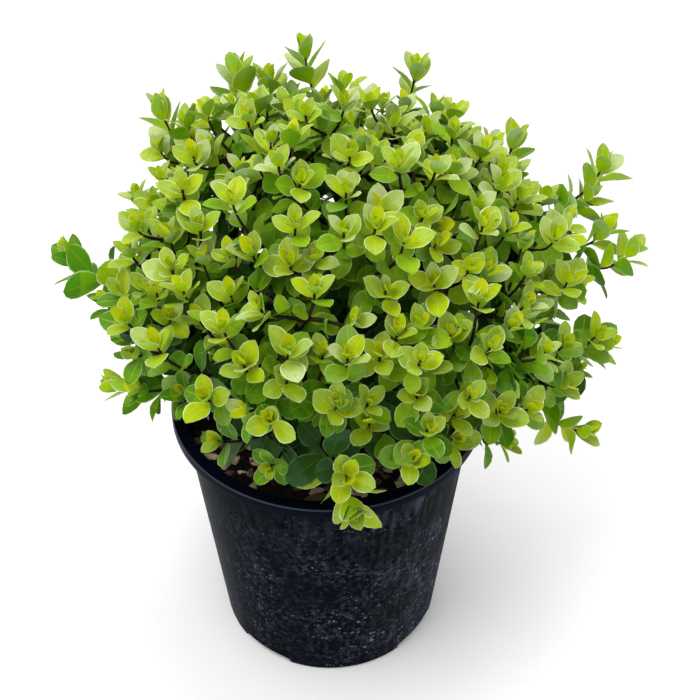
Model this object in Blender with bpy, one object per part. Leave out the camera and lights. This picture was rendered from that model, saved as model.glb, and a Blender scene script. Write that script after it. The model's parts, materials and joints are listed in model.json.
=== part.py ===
"""A small dense evergreen shrub in a round black nursery pot, at its real size in metres, +Z up.

The origin is the middle of the pot's flat underside, and -Y is the front. A short stem stands in
the potting mix and carries one tapering bough for each mass of foliage. Each mass is one solid: twigs
that branch by a seeded rule from one stem, with a rosette of leaves fused to the tip of each twig.
"""

import math
import random

import bmesh
import bpy
import numpy as np
from mathutils import Matrix, Vector
from mathutils.bvhtree import BVHTree

# Clear gap between pieces that touch on the real plant.
GAP = 0.0003

# Pot: a straight taper under a turned-out rim with a short turned-down lip.
POT_HEIGHT = 0.190
POT_RIM_RADIUS = 0.100
POT_NECK_RADIUS = 0.0932
POT_BASE_RADIUS = 0.0763
POT_WALL = 0.0014
POT_FLOOR = 0.0022
POT_LIP_DROP = 0.0068
POT_LIP_WALL = 0.0013
POT_EDGE = 0.0010
POT_SEGMENTS = 40

# Drain notches cut through the corner of wall and floor.
NOTCH_COUNT = 4
NOTCH_FIRST_DEG = 54.0
NOTCH_WIDTH = 0.040
NOTCH_HEIGHT = 0.0060
NOTCH_DEPTH = 0.0065

# Potting mix, a little below the rim and slightly uneven on top.
MIX_BELOW_RIM = 0.0145
MIX_RELIEF = 0.0022
MIX_RINGS = (0.30, 0.62, 1.0)
CHIP_COUNT = 8
CHIP_LENGTH = 0.015

# Trunk: its foot on the potting mix, flared, leaning a little to the right.
TRUNK_FOOT = Vector((0.014, -0.004, POT_HEIGHT - MIX_BELOW_RIM + GAP))
TRUNK_TOP = Vector((0.017, -0.002, 0.216))
TRUNK_FLARE_RADIUS = 0.0092
TRUNK_RINGS = ((0.0, TRUNK_FLARE_RADIUS), (0.10, 0.0076), (0.30, 0.0066), (0.62, 0.0060), (1.0, 0.0056))
TRUNK_SIDES = 8

# Crown: every reach is measured from this centre to the tip of a shoot.
CROWN_CENTRE = Vector((0.012, 0.0, 0.250))
TIP_COUNT = 94
TIP_SEED = 8
TIP_TRIES = 24
REACH_SPREAD = 0.008
REACH_BLEND = 9.0
SHOOT_LIFTS = (0.46, 0.80)

# The lowest shoots' height: a hem that rises towards the front and to the left, clear of the pot's rim.
HEM_HEIGHT = 0.207
HEM_RISE = 0.28
HEM_TILT = 0.15

# Each mass: its name, its compass angle from +X, its angle above level, and its usual reach.
MASSES = (
    ("top_right", 30, 66, 0.126),
    ("top_left", 150, 66, 0.141),
    ("top_front", 270, 66, 0.140),
    ("right", 18, 27, 0.140),
    ("back_right", 78, 32, 0.126),
    ("back_left", 136, 30, 0.143),
    ("left", 190, 28, 0.138),
    ("front_left", 246, 27, 0.140),
    ("front_right", 306, 27, 0.139),
    ("skirt_right", 352, -9, 0.143),
    ("skirt_back_right", 43, -8, 0.140),
    ("skirt_back", 95, -8, 0.140),
    ("skirt_back_left", 146, -8, 0.140),
    ("skirt_left", 198, -9, 0.131),
    ("skirt_front_left", 249, -8, 0.116),
    ("skirt_front_right", 302, -4, 0.112),
)

# Shoots that stand proud of the crown: compass angle, angle above level, reach.
PROUD_SHOOTS = (
    (67, 48, 0.157),
    (104, 50, 0.164),
    (124, 44, 0.163),
    (144, 35, 0.167),
    (172, 11, 0.170),
    (21, 24, 0.179),
    (9, 11, 0.176),
    (36, 34, 0.149),
    (357, -4, 0.155),
    (343, -18, 0.147),
    (190, -12, 0.137),
    (13, 15, 0.163),
    (19, 21, 0.165),
    (117, 47, 0.150),
    (139, 38, 0.147),
    (272, -22, 0.108),
)

# Boughs: one for each mass, leaving the trunk in three tiers.
BOUGH_SIDES = 5
BOUGH_STEPS = 3
BOUGH_RADIUS = 0.0021
BOUGH_TIP_RADIUS = 0.0016
BOUGH_FOOT = 0.002
BOUGH_SHARE = 0.40
TIERS = ((-90, 0.46, 28), (10, 0.78, 48), (50, 1.0, 76))
TOP_TIER_SPREAD = 0.0027

# Twigs and leaves.
TWIG_SIDES = 3
TWIG_STEPS = 3
STEM_STEPS = 4
STEM_FOOT = 0.003
STEM_RADIUS = 0.0019
TWIG_RADIUS = 0.0014
TWIG_TIP_RADIUS = 0.0009
FORK_LOWEST = 0.10
FORK_HIGHEST = 0.52
LEAVES_PER_TIP = 6
GOLDEN_DEG = 137.508
LEAF_LENGTHS = (0.0200, 0.0310)
LEAF_TILTS_DEG = (26, 82)
LEAF_STEP = 0.0019
LEAF_STEP_GROWTH = 1.5
LEAF_WIDTH_SHARES = (0.56, 0.76)
LEAF_THICKNESS = 0.0008
LEAF_CUP_SHARE = 0.10
LEAF_SHRINKS = (1.0, 0.85, 0.7)
LEAF_CLEARANCE = 0.0004
ROSETTE_TURNS = 5


def clear_scene():
    for obj in list(bpy.data.objects):
        bpy.data.objects.remove(obj)


def material(name, colour, roughness, metallic=0.0):
    made = bpy.data.materials.new(name)
    made.use_nodes = True
    shader = made.node_tree.nodes["Principled BSDF"]
    shader.inputs["Base Color"].default_value = (*colour, 1.0)
    shader.inputs["Roughness"].default_value = roughness
    shader.inputs["Metallic"].default_value = metallic
    return made


def new_object(name, verts, faces, finish, smooth=False):
    mesh = bpy.data.meshes.new(name)
    mesh.from_pydata([tuple(v) for v in verts], [], faces)
    mesh.materials.append(finish)
    if smooth:
        mesh.shade_smooth()
        mesh.set_sharp_from_angle(angle=math.radians(35))
    obj = bpy.data.objects.new(name, mesh)
    bpy.context.scene.collection.objects.link(obj)
    return obj


def apply_modifiers(obj):
    """Replaces the object's mesh by what its modifiers make of it."""
    graph = bpy.context.evaluated_depsgraph_get()
    made = bpy.data.meshes.new_from_object(obj.evaluated_get(graph))
    obj.modifiers.clear()
    obj.data = made


def direction(compass_deg, above_deg):
    compass, above = math.radians(compass_deg), math.radians(above_deg)
    level = math.cos(above)
    return Vector((level * math.cos(compass), level * math.sin(compass), math.sin(above)))


def lathe(profile, segments):
    """A closed turned shape. The profile runs from the axis round the section and back to the axis."""
    verts, rings = [], []
    for radius, height in profile:
        if radius == 0.0:
            rings.append([len(verts)] * segments)
            verts.append((0.0, 0.0, height))
            continue
        rings.append([len(verts) + i for i in range(segments)])
        for i in range(segments):
            turn = 2 * math.pi * i / segments
            verts.append((radius * math.cos(turn), radius * math.sin(turn), height))
    faces = []
    for low, high in zip(rings, rings[1:]):
        for i in range(segments):
            j = (i + 1) % segments
            corners = [low[i], low[j], high[j], high[i]]
            faces.append(tuple(dict.fromkeys(corners)))
    return verts, faces


# Pot and potting mix.


def wall_radius(height):
    """The pot wall's outer radius at a height."""
    share = height / (POT_HEIGHT - POT_LIP_DROP)
    return POT_BASE_RADIUS + (POT_NECK_RADIUS - POT_BASE_RADIUS) * share


def pot_profile():
    top, rim = POT_HEIGHT, POT_RIM_RADIUS
    under_rim = top - POT_LIP_WALL
    lip_foot = top - POT_LIP_DROP
    neck = wall_radius(under_rim)
    return (
        (0.0, 0.0),
        (POT_BASE_RADIUS - POT_EDGE, 0.0),
        (POT_BASE_RADIUS, POT_EDGE),
        (neck, under_rim),
        (rim - POT_LIP_WALL, under_rim),
        (rim - POT_LIP_WALL, lip_foot),
        (rim, lip_foot),
        (rim, top - POT_EDGE),
        (rim - POT_EDGE, top),
        (neck - POT_WALL + POT_EDGE, top),
        (neck - POT_WALL, top - POT_EDGE),
        (wall_radius(POT_FLOOR) - POT_WALL, POT_FLOOR),
        (0.0, POT_FLOOR),
    )


def notch_cutter(number):
    """An arched block that cuts one drain notch."""
    turn = math.radians(NOTCH_FIRST_DEG + 360.0 * number / NOTCH_COUNT)
    half, below = NOTCH_WIDTH / 2, 0.002
    inner, outer = POT_BASE_RADIUS - NOTCH_DEPTH, POT_BASE_RADIUS + 0.006
    arch = [(-half, -below), (half, -below), (half, NOTCH_HEIGHT * 0.55), (half * 0.72, NOTCH_HEIGHT)]
    arch += [(-half * 0.72, NOTCH_HEIGHT), (-half, NOTCH_HEIGHT * 0.55)]
    verts = [(inner, y, z) for y, z in arch] + [(outer, y, z) for y, z in arch]
    count = len(arch)
    faces = [tuple(range(count))[::-1], tuple(range(count, 2 * count))]
    faces += [(i, (i + 1) % count, (i + 1) % count + count, i + count) for i in range(count)]
    cutter = new_object(f"notch_cutter_{number}", verts, faces, bpy.data.materials["pot_plastic"])
    cutter.data.transform(Matrix.Rotation(turn, 4, "Z"))
    return cutter


def make_pot(finish):
    verts, faces = lathe(pot_profile(), POT_SEGMENTS)
    pot = new_object("pot", verts, faces, finish, smooth=True)
    for number in range(NOTCH_COUNT):
        cutter = notch_cutter(number)
        cut = pot.modifiers.new("drain_notch", "BOOLEAN")
        cut.operation = "DIFFERENCE"
        cut.object = cutter
        apply_modifiers(pot)
        bpy.data.objects.remove(cutter)
    return pot


def mix_top():
    return POT_HEIGHT - MIX_BELOW_RIM


def chip(centre, turn, tilt, length):
    """A bark chip: a flat six-sided splinter."""
    half = Vector((length / 2, length * 0.17, length * 0.07))
    outline = ((-1, 0), (-0.5, -1), (0.6, -0.8), (1, 0.1), (0.5, 1), (-0.6, 0.8))
    verts = [Vector((x * half.x, y * half.y, z * half.z)) for z in (-1, 1) for x, y in outline]
    place = Matrix.Translation(centre) @ Matrix.Rotation(turn, 4, "Z") @ Matrix.Rotation(tilt, 4, "Y")
    count = len(outline)
    faces = [tuple(range(count))[::-1], tuple(range(count, 2 * count))]
    faces += [(i, (i + 1) % count, (i + 1) % count + count, i + count) for i in range(count)]
    return [place @ v for v in verts], faces


def make_potting_mix(finish):
    """Fills the pot from its floor, clear of the wall, with an uneven top and a few bark chips."""
    rng = random.Random(5)
    top, base = mix_top(), POT_FLOOR + GAP
    side = wall_radius(top) - POT_WALL - GAP
    foot = wall_radius(base) - POT_WALL - GAP
    # The drain notches reach past the wall, so the mix's lower corner is drawn in behind them.
    profile = [(0.0, base), (POT_BASE_RADIUS - NOTCH_DEPTH - GAP, base), (foot, NOTCH_HEIGHT + GAP)]
    profile += [(side * share, top) for share in reversed(MIX_RINGS)]
    profile += [(0.0, top)]
    verts, faces = lathe(profile, POT_SEGMENTS)
    near_trunk = TRUNK_FLARE_RADIUS * 2.2
    for i, (x, y, z) in enumerate(verts):
        edge = math.hypot(x, y) > side * 0.99
        if z < top or edge or math.hypot(x - TRUNK_FOOT.x, y - TRUNK_FOOT.y) < near_trunk:
            continue
        wave = math.sin(x * 95 + 1.0) * math.cos(y * 80 - 0.6) + rng.uniform(-0.45, 0.45)
        verts[i] = (x, y, top + MIX_RELIEF * 0.7 * wave)
    mix = new_object("potting_mix", verts, faces, finish)
    pieces = []
    for number in range(CHIP_COUNT):
        turn = math.radians(GOLDEN_DEG * number)
        out = side * (0.42 + 0.46 * ((number * 0.618) % 1.0))
        centre = Vector((out * math.cos(turn), out * math.sin(turn), top + rng.uniform(0.0, 0.0008)))
        length = CHIP_LENGTH * rng.uniform(0.65, 1.0)
        shape = chip(centre, rng.uniform(0, math.pi), rng.uniform(-0.25, 0.25), length)
        pieces.append(new_object(f"chip_{number}", *shape, finish))
    fuse(mix, pieces)
    return mix


# Limbs.


def tube(points, radii, sides):
    """A closed tube of a given radius at each point, turned as little as it can be along its way."""
    verts, faces = [], []
    forward = (points[1] - points[0]).normalized()
    across = forward.orthogonal().normalized()
    for k, (point, radius) in enumerate(zip(points, radii)):
        ahead = points[min(k + 1, len(points) - 1)] - points[max(k - 1, 0)]
        ahead.normalize()
        across = (across - ahead * across.dot(ahead)).normalized()
        beside = ahead.cross(across)
        for i in range(sides):
            turn = 2 * math.pi * i / sides
            verts.append(point + (across * math.cos(turn) + beside * math.sin(turn)) * radius)
    for k in range(len(points) - 1):
        for i in range(sides):
            a, b = k * sides + i, k * sides + (i + 1) % sides
            faces.append((a, b, b + sides, a + sides))
    faces.append(tuple(range(sides))[::-1])
    faces.append(tuple(range(len(verts) - sides, len(verts))))
    return verts, faces


def bezier(start, start_pull, end_pull, end, steps):
    points = []
    for k in range(steps + 1):
        t = k / steps
        s = 1 - t
        points.append(start * s**3 + start_pull * 3 * s * s * t + end_pull * 3 * s * t * t + end * t**3)
    return points


def tapered(first, last, count):
    return [first + (last - first) * k / (count - 1) for k in range(count)]


def trunk_shape():
    """Short and tapered, with a flared foot cut flat where it meets the potting mix."""
    rng = random.Random(3)
    verts, faces = [], []
    for share, radius in TRUNK_RINGS:
        centre = TRUNK_FOOT.lerp(TRUNK_TOP, share)
        uneven = 0.16 if share < 0.05 else 0.05
        for i in range(TRUNK_SIDES):
            turn = 2 * math.pi * i / TRUNK_SIDES
            out = radius * (1 + uneven * rng.uniform(-1, 1))
            verts.append(centre + Vector((math.cos(turn), math.sin(turn), 0)) * out)
    for k in range(len(TRUNK_RINGS) - 1):
        for i in range(TRUNK_SIDES):
            a, b = k * TRUNK_SIDES + i, k * TRUNK_SIDES + (i + 1) % TRUNK_SIDES
            faces.append((a, b, b + TRUNK_SIDES, a + TRUNK_SIDES))
    faces.append(tuple(range(TRUNK_SIDES))[::-1])
    faces.append(tuple(range(len(verts) - TRUNK_SIDES, len(verts))))
    return verts, faces


def seat(start, heading, away, trunk):
    """Moves a bough's foot along a direction until its end face is just clear of the trunk."""
    for _ in range(6):
        ring, _faces = tube([start, start + heading * 0.01], [BOUGH_RADIUS] * 2, BOUGH_SIDES)
        rim = ring[:BOUGH_SIDES]
        rim += [(a + b) / 2 for a, b in zip(rim, rim[1:] + rim[:1])]
        nearest = min(trunk.find_nearest(point)[3] for point in rim)
        start = start - away * (nearest - GAP)
    return start


def bough_points(mass, trunk):
    """The bough's centre line, from just clear of the trunk to where it enters its mass."""
    _, compass, above, reach = mass
    share, start_above = next((s, a) for low, s, a in reversed(TIERS) if above >= low)
    outward = direction(compass, 0)
    heading = direction(compass, start_above)
    axis = TRUNK_FOOT.lerp(TRUNK_TOP, share)
    up = Vector((0, 0, 1))
    if share == 1.0:
        start = seat(axis + outward * TOP_TIER_SPREAD + up * BOUGH_RADIUS * 2, heading, up, trunk)
    else:
        start = seat(axis + outward * TRUNK_FLARE_RADIUS * 1.5, heading, outward, trunk)
    toward = direction(compass, above)
    end = CROWN_CENTRE + toward * reach * BOUGH_SHARE
    span = (end - start).length
    lift = (toward + up * 0.35).normalized()
    line = bezier(start + heading * BOUGH_FOOT, start + heading * span * 0.36,
                  end - lift * span * 0.34, end, BOUGH_STEPS)
    return [start] + line


# The crown: where its shoots end, and which mass each belongs to.


def usual_reach(toward):
    """The crown's reach in a direction, blended between the masses near it."""
    total = weight = 0.0
    for _, compass, above, reach in MASSES:
        near = math.exp(REACH_BLEND * (toward.dot(direction(compass, above)) - 1))
        total += near * reach
        weight += near
    return total / weight


def above_hem(point):
    return point.z > HEM_HEIGHT + HEM_RISE * max(0.0, -point.y) - HEM_TILT * point.x


def shoot_tips(count):
    """Directions and reaches of the shoots: each mass's own, the proud ones, then an even spread.

    Each later shoot is the best of several seeded tries, the one furthest from all before it, so a
    longer list only adds shoots between those that a shorter list has.
    """
    rng = random.Random(TIP_SEED)
    tips = [(direction(compass, above), reach) for _, compass, above, reach in MASSES]
    tips += [(direction(compass, above), reach) for compass, above, reach in PROUD_SHOOTS]
    while len(tips) < count:
        best, best_gap = None, -1.0
        for _ in range(TIP_TRIES):
            height = rng.uniform(-0.4, 1.0)
            turn = rng.uniform(0, 2 * math.pi)
            level = math.sqrt(1 - height * height)
            toward = Vector((level * math.cos(turn), level * math.sin(turn), height))
            gap = min((toward - other).length for other, _ in tips)
            if gap > best_gap and above_hem(CROWN_CENTRE + toward * usual_reach(toward)):
                best, best_gap = toward, gap
        if best:
            tips.append((best, usual_reach(best) + rng.uniform(-1, 1) * REACH_SPREAD))
    return tips


def mass_of(toward):
    """The number of the mass whose middle is nearest in direction."""
    nearness = [toward.dot(direction(compass, above)) for _, compass, above, _ in MASSES]
    return nearness.index(max(nearness))


def shoot_heading(toward):
    """A shoot's direction at its tip, steeper the higher it stands in the crown."""
    height = min(1.0, max(0.0, (toward.z + 0.15) / 0.50))
    lift = SHOOT_LIFTS[0] + (SHOOT_LIFTS[1] - SHOOT_LIFTS[0]) * height
    return (toward * (1 - lift) + Vector((0, 0, lift))).normalized()


def point_along(points, share):
    """The point a share of the way along a polyline, and the polyline's direction there."""
    lengths = [(b - a).length for a, b in zip(points, points[1:])]
    left = share * sum(lengths)
    for a, b, length in zip(points, points[1:], lengths):
        if left <= length:
            return a.lerp(b, left / length), (b - a).normalized()
        left -= length
    return points[-1].copy(), (points[-1] - points[-2]).normalized()


def grow_mass(number, bough, tips):
    """The centre lines of a mass: its stem to the mass's own shoot, then a twig to each other tip."""
    onward = (bough[-1] - bough[-2]).normalized()
    foot = bough[-1] + onward * GAP
    start = foot + onward * STEM_FOOT
    toward, reach = tips[number]
    tip = CROWN_CENTRE + toward * reach
    span = (tip - start).length
    pull = tip - shoot_heading(toward) * span * 0.36
    stem = [foot] + bezier(start, start + onward * span * 0.36, pull, tip, STEM_STEPS)
    twigs = [(stem, STEM_RADIUS)]
    mine = [k for k in range(len(MASSES), len(tips)) if mass_of(tips[k][0]) == number]
    mine.sort(key=lambda k: tips[k][0].dot(toward))
    for order, k in enumerate(mine):
        share = FORK_LOWEST + (FORK_HIGHEST - FORK_LOWEST) * (order + 0.5) / len(mine)
        fork, along = point_along(stem, share)
        end = CROWN_CENTRE + tips[k][0] * tips[k][1]
        span = (end - fork).length
        leave = (along + (end - fork).normalized()).normalized()
        pull = end - shoot_heading(tips[k][0]) * span * 0.36
        twigs.append((bezier(fork, fork + leave * span * 0.34, pull, end, TWIG_STEPS), TWIG_RADIUS))
    return twigs


# Space: a point belongs to the mass whose twigs are nearest.


def segments_of(lines):
    starts = np.array([tuple(a) for line in lines for a in line[:-1]])
    ends = np.array([tuple(b) for line in lines for b in line[1:]])
    return starts, ends


def distances(points, segments):
    """The distance of each point from the nearest of the segments."""
    starts, ends = segments
    spans = ends - starts
    offset = points[:, None, :] - starts[None, :, :]
    share = np.clip((offset * spans).sum(2) / (spans * spans).sum(1), 0, 1)
    nearest = offset - share[:, :, None] * spans
    return np.sqrt((nearest * nearest).sum(2)).min(1)


def samples(verts, faces):
    """Points over a small solid: its corners, its edges' middles and its faces' middles."""
    points = [tuple(v) for v in verts]
    for face in faces:
        corners = [verts[i] for i in face]
        middle = sum(corners, Vector()) / len(corners)
        points.append(tuple(middle))
        points += [tuple((a + b) / 2) for a, b in zip(corners, corners[1:] + corners[:1])]
    return np.array(points)


def keeps_to_space(verts, faces, own, others, limbs):
    points = samples(verts, faces)
    over_pot = np.hypot(points[:, 0], points[:, 1]) < POT_RIM_RADIUS + LEAF_CLEARANCE
    if (points[over_pot, 2] < POT_HEIGHT + LEAF_CLEARANCE).any():
        return False
    if (distances(points, limbs) < BOUGH_RADIUS + LEAF_CLEARANCE).any():
        return False
    return bool((distances(points, own) + LEAF_CLEARANCE * 2 < distances(points, others)).all())


# Leaves.


def leaf(root, heading, face_up, length, width):
    """A folded oval blade of six faces that starts as a point inside its twig."""
    across = heading.cross(face_up).normalized()
    up = across.cross(heading).normalized()
    cup = up * length * LEAF_CUP_SHARE
    widest = root + heading * length * 0.54 + cup
    tip = root + heading * length + cup * 0.4
    ridge = root + heading * length * 0.36 + cup * 0.14 + up * LEAF_THICKNESS
    verts = [root, widest + across * width / 2, tip, widest - across * width / 2, ridge]
    return verts, [(1, 4, 0), (2, 4, 1), (3, 4, 2), (0, 4, 3), (2, 1, 0), (3, 2, 0)]


def rosette(line, seed, first):
    """The leaves of one shoot, from the small upright ones at its tip to the large spread ones."""
    rng = random.Random(seed)
    length_of_line = sum((b - a).length for a, b in zip(line, line[1:]))
    across = (line[-1] - line[-2]).orthogonal()
    back, step = TWIG_TIP_RADIUS, LEAF_STEP
    for order in range(LEAVES_PER_TIP):
        share = order / (LEAVES_PER_TIP - 1)
        root, axis = point_along(line, 1 - back / length_of_line)
        side = (across - axis * across.dot(axis)).normalized()
        turn = math.radians(first + GOLDEN_DEG * order + rng.uniform(-9, 9))
        spread = LEAF_TILTS_DEG[0] + (LEAF_TILTS_DEG[1] - LEAF_TILTS_DEG[0]) * share**0.7
        tilt = math.radians(spread + rng.uniform(-6, 6))
        length = LEAF_LENGTHS[0] + (LEAF_LENGTHS[1] - LEAF_LENGTHS[0]) * min(1.0, share * 1.5)
        length *= rng.uniform(0.92, 1.06)
        width = LEAF_WIDTH_SHARES[0] + (LEAF_WIDTH_SHARES[1] - LEAF_WIDTH_SHARES[0]) * share
        out = side * math.cos(turn) + axis.cross(side) * math.sin(turn)
        heading = axis * math.cos(tilt) + out * math.sin(tilt)
        face_up = axis * math.sin(tilt) - out * math.cos(tilt)
        yield root, heading, face_up, length, width * length
        back += step
        step *= LEAF_STEP_GROWTH


def leaves_that_fit(line, seed, space, taken):
    """The shoot's leaves, each as large as its mass's space and the leaves before it let it be.

    A few turns of the whole shoot are tried, and the one that keeps the most leaf is taken.
    """
    best, most = [], -1.0
    for attempt in range(ROSETTE_TURNS):
        kept, total = [], 0.0
        for root, heading, face_up, length, width in rosette(line, seed, 360.0 * attempt / ROSETTE_TURNS):
            for shrink in LEAF_SHRINKS:
                shape = leaf(root, heading, face_up, length * shrink, width * shrink)
                tree = BVHTree.FromPolygons(*shape)
                if keeps_to_space(*shape, *space) and not any(tree.overlap(other) for other in taken):
                    kept.append((shape, tree))
                    total += length * shrink
                    break
        if total > most:
            best, most = kept, total
    taken.extend(tree for _, tree in best)
    return [shape for shape, _ in best]


def fuse(base, pieces):
    """Joins the pieces to the base with one Boolean union, and removes them."""
    group = bpy.data.collections.new("to_fuse")
    bpy.context.scene.collection.children.link(group)
    for piece in pieces:
        bpy.context.scene.collection.objects.unlink(piece)
        group.objects.link(piece)
    union = base.modifiers.new("union", "BOOLEAN")
    union.operation = "UNION"
    union.operand_type = "COLLECTION"
    union.collection = group
    union.solver = "MANIFOLD"
    apply_modifiers(base)
    for piece in pieces:
        bpy.data.objects.remove(piece)
    bpy.data.collections.remove(group)


def make_foliage(number, crown, limbs, finish):
    """One mass: its twigs, with the leaves that keep to its own space, fused."""
    name = MASSES[number][0]
    own = segments_of([line for line, _ in crown[number]])
    others = segments_of([line for k, mass in enumerate(crown) if k != number for line, _ in mass])
    tubes = []
    for line, radius in crown[number]:
        tubes.append(tube(line, tapered(radius, TWIG_TIP_RADIUS, len(line)), TWIG_SIDES))
    trees = [BVHTree.FromPolygons(*shape) for shape in tubes]
    pieces = [new_object(f"twig_{name}_{k}", *shape, finish) for k, shape in enumerate(tubes)]
    leaf_trees = []
    for k, (line, _) in enumerate(crown[number]):
        taken = leaf_trees + trees[:k] + trees[k + 1 :]
        before = len(taken)
        for shape in leaves_that_fit(line, 1000 * number + k, (own, others, limbs), taken):
            pieces.append(new_object(f"leaf_{name}_{len(pieces)}", *shape, finish))
        leaf_trees += taken[before:]
    base = pieces.pop(0)
    fuse(base, pieces)
    base.name = base.data.name = f"foliage_{name}"
    return base


def main():
    clear_scene()
    plastic = material("pot_plastic", (0.022, 0.024, 0.030), 0.42)
    mix = material("bark_mix", (0.075, 0.048, 0.030), 0.95)
    bark = material("dark_bark", (0.060, 0.034, 0.030), 0.70)
    green = material("leaf_green", (0.36, 0.52, 0.06), 0.45)

    make_pot(plastic)
    make_potting_mix(mix)
    trunk = trunk_shape()
    new_object("trunk", *trunk, bark, smooth=True)

    trunk_tree = BVHTree.FromPolygons(*trunk)
    boughs = [bough_points(mass, trunk_tree) for mass in MASSES]
    for mass, line in zip(MASSES, boughs):
        shape = tube(line, tapered(BOUGH_RADIUS, BOUGH_TIP_RADIUS, len(line)), BOUGH_SIDES)
        new_object(f"bough_{mass[0]}", *shape, bark, smooth=True)

    limbs = segments_of(boughs + [[TRUNK_FOOT, TRUNK_TOP]])
    tips = shoot_tips(TIP_COUNT)
    crown = [grow_mass(number, bough, tips) for number, bough in enumerate(boughs)]
    for number in range(len(MASSES)):
        make_foliage(number, crown, limbs, green)


main()
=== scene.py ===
"""A small dense evergreen shrub in a black nursery pot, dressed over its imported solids.

The file is laid out as an add-on and run as a script. Each operator makes one piece, or one group of
like pieces, and the panel in the 3D view's sidebar lists them in order. Everything is in metres, the
origin is the middle of the pot's flat underside, +Z is up and -Y is the front.
"""

import json
import math
import random

import bpy
import numpy as np
from bpy.props import FloatProperty, FloatVectorProperty, IntProperty, PointerProperty
from mathutils import Matrix, Vector, noise

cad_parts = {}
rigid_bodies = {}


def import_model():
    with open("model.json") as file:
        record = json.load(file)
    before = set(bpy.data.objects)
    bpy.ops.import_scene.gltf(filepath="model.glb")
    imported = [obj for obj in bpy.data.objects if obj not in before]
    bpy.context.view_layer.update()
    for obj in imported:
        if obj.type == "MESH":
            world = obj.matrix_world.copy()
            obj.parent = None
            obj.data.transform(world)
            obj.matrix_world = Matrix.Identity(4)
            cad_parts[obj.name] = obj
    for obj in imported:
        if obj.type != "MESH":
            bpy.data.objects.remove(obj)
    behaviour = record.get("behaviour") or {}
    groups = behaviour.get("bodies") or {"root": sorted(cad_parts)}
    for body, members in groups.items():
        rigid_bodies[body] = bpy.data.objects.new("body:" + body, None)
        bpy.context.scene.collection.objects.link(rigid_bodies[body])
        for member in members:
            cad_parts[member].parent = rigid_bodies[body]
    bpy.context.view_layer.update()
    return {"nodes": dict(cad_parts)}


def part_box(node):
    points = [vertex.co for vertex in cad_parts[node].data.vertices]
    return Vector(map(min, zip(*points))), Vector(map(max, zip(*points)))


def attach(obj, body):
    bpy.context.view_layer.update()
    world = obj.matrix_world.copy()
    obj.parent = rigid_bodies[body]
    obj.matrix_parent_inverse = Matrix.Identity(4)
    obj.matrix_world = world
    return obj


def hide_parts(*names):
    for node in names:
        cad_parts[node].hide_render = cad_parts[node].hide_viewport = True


bl_info = {
    "name": "Potted dwarf shrub",
    "version": (1, 0, 0),
    "blender": (4, 5, 0),
    "location": "3D View > Sidebar > Shrub",
    "description": "Makes a potted evergreen shrub with rosettes of lime-green leaves over its solids",
    "category": "Object",
}

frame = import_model()
POT_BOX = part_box("pot")
MIX_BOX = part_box("potting_mix")

BOUGHS = [name for name in frame["nodes"] if name.startswith("bough_")]
FOLIAGE = [name for name in frame["nodes"] if name.startswith("foliage_")]

# The clear gap that the solids keep between them.
SOLID_GAP = 0.0003

# Pot proportions that stay with the mould, and the colours of its plastic where it is smooth, and on the
# rim's outer top edge, where a lighter colour is a painted highlight line.
LIP_DROP = 0.0068
LIP_WALL = 0.0013
NECK_RADIUS = 0.0932
POT_WALL = 0.0014
POT_FLOOR = 0.0022
NOTCH_COUNT = 4
NOTCH_FIRST_DEG = 54.0
NOTCH_WIDTH = 0.040
NOTCH_HEIGHT = 0.0060
NOTCH_SHOULDER = 0.35
NOTCH_DEPTH = 0.0065
NOTCH_STEPS = 10
CUTTER_SPARE = (0.002, 0.006)
SMOOTH_UNDER_LIP = 0.0006
SURFACE_BAND = 0.0008
RIM_PLASTIC = (0.0016, 0.0028, 0.0080, 1.0)
# The lighter navy is a painted highlight line along the rim's outer top edge.
PAINTED_HIGHLIGHT_PLASTIC = (0.018, 0.026, 0.048, 1.0)
EARTH = (0.050, 0.052, 0.050, 1.0)
SPECKS = (0.150, 0.175, 0.225, 1.0)

# The mix's section at its foot, clear of the pot's notches, how far it rises at the wall, and its mound
# round the trunk.
MIX_FOOT_RADII = (0.069, 0.0748)
MIX_FOOT_TOP = 0.0066
MIX_RINGS, MIX_SEGMENTS = 30, 120
MIX_RISE = 0.0062
MIX_EDGE = 0.995
MIX_WAVES, FINE_WAVES, FINE_WAVE_SHARE = 55, 190, 0.45
WAVE_SHARE = 0.75
MOUND_RADIUS, MOUND_SHARE = 0.022, 0.35

# Each kind of chip: its length, width and height as shares of the largest chip's length, its share of the
# usual density, its smallest and largest scale, its greatest tilt and its seed.
CHIP_KINDS = {
    "bark_chips": ((1.0, 0.44, 0.16), 0.55, (0.40, 1.0), 0.42, 11),
    "dark_chips": ((0.6, 0.30, 0.16), 2.4, (0.25, 0.9), 0.6, 5),
    "pale_chips": ((0.75, 0.36, 0.20), 0.60, (0.30, 1.0), 0.5, 23),
}
CHIP_FORMS = 5
CHIP_RINGS, CHIP_SIDES = 5, 8
CHIP_LENGTHS, CHIP_WIDTHS, CHIP_HEIGHTS = (0.94, 1.04), (0.78, 1.12), (0.70, 1.20)
WALL_SLOPE = 0.04

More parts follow.
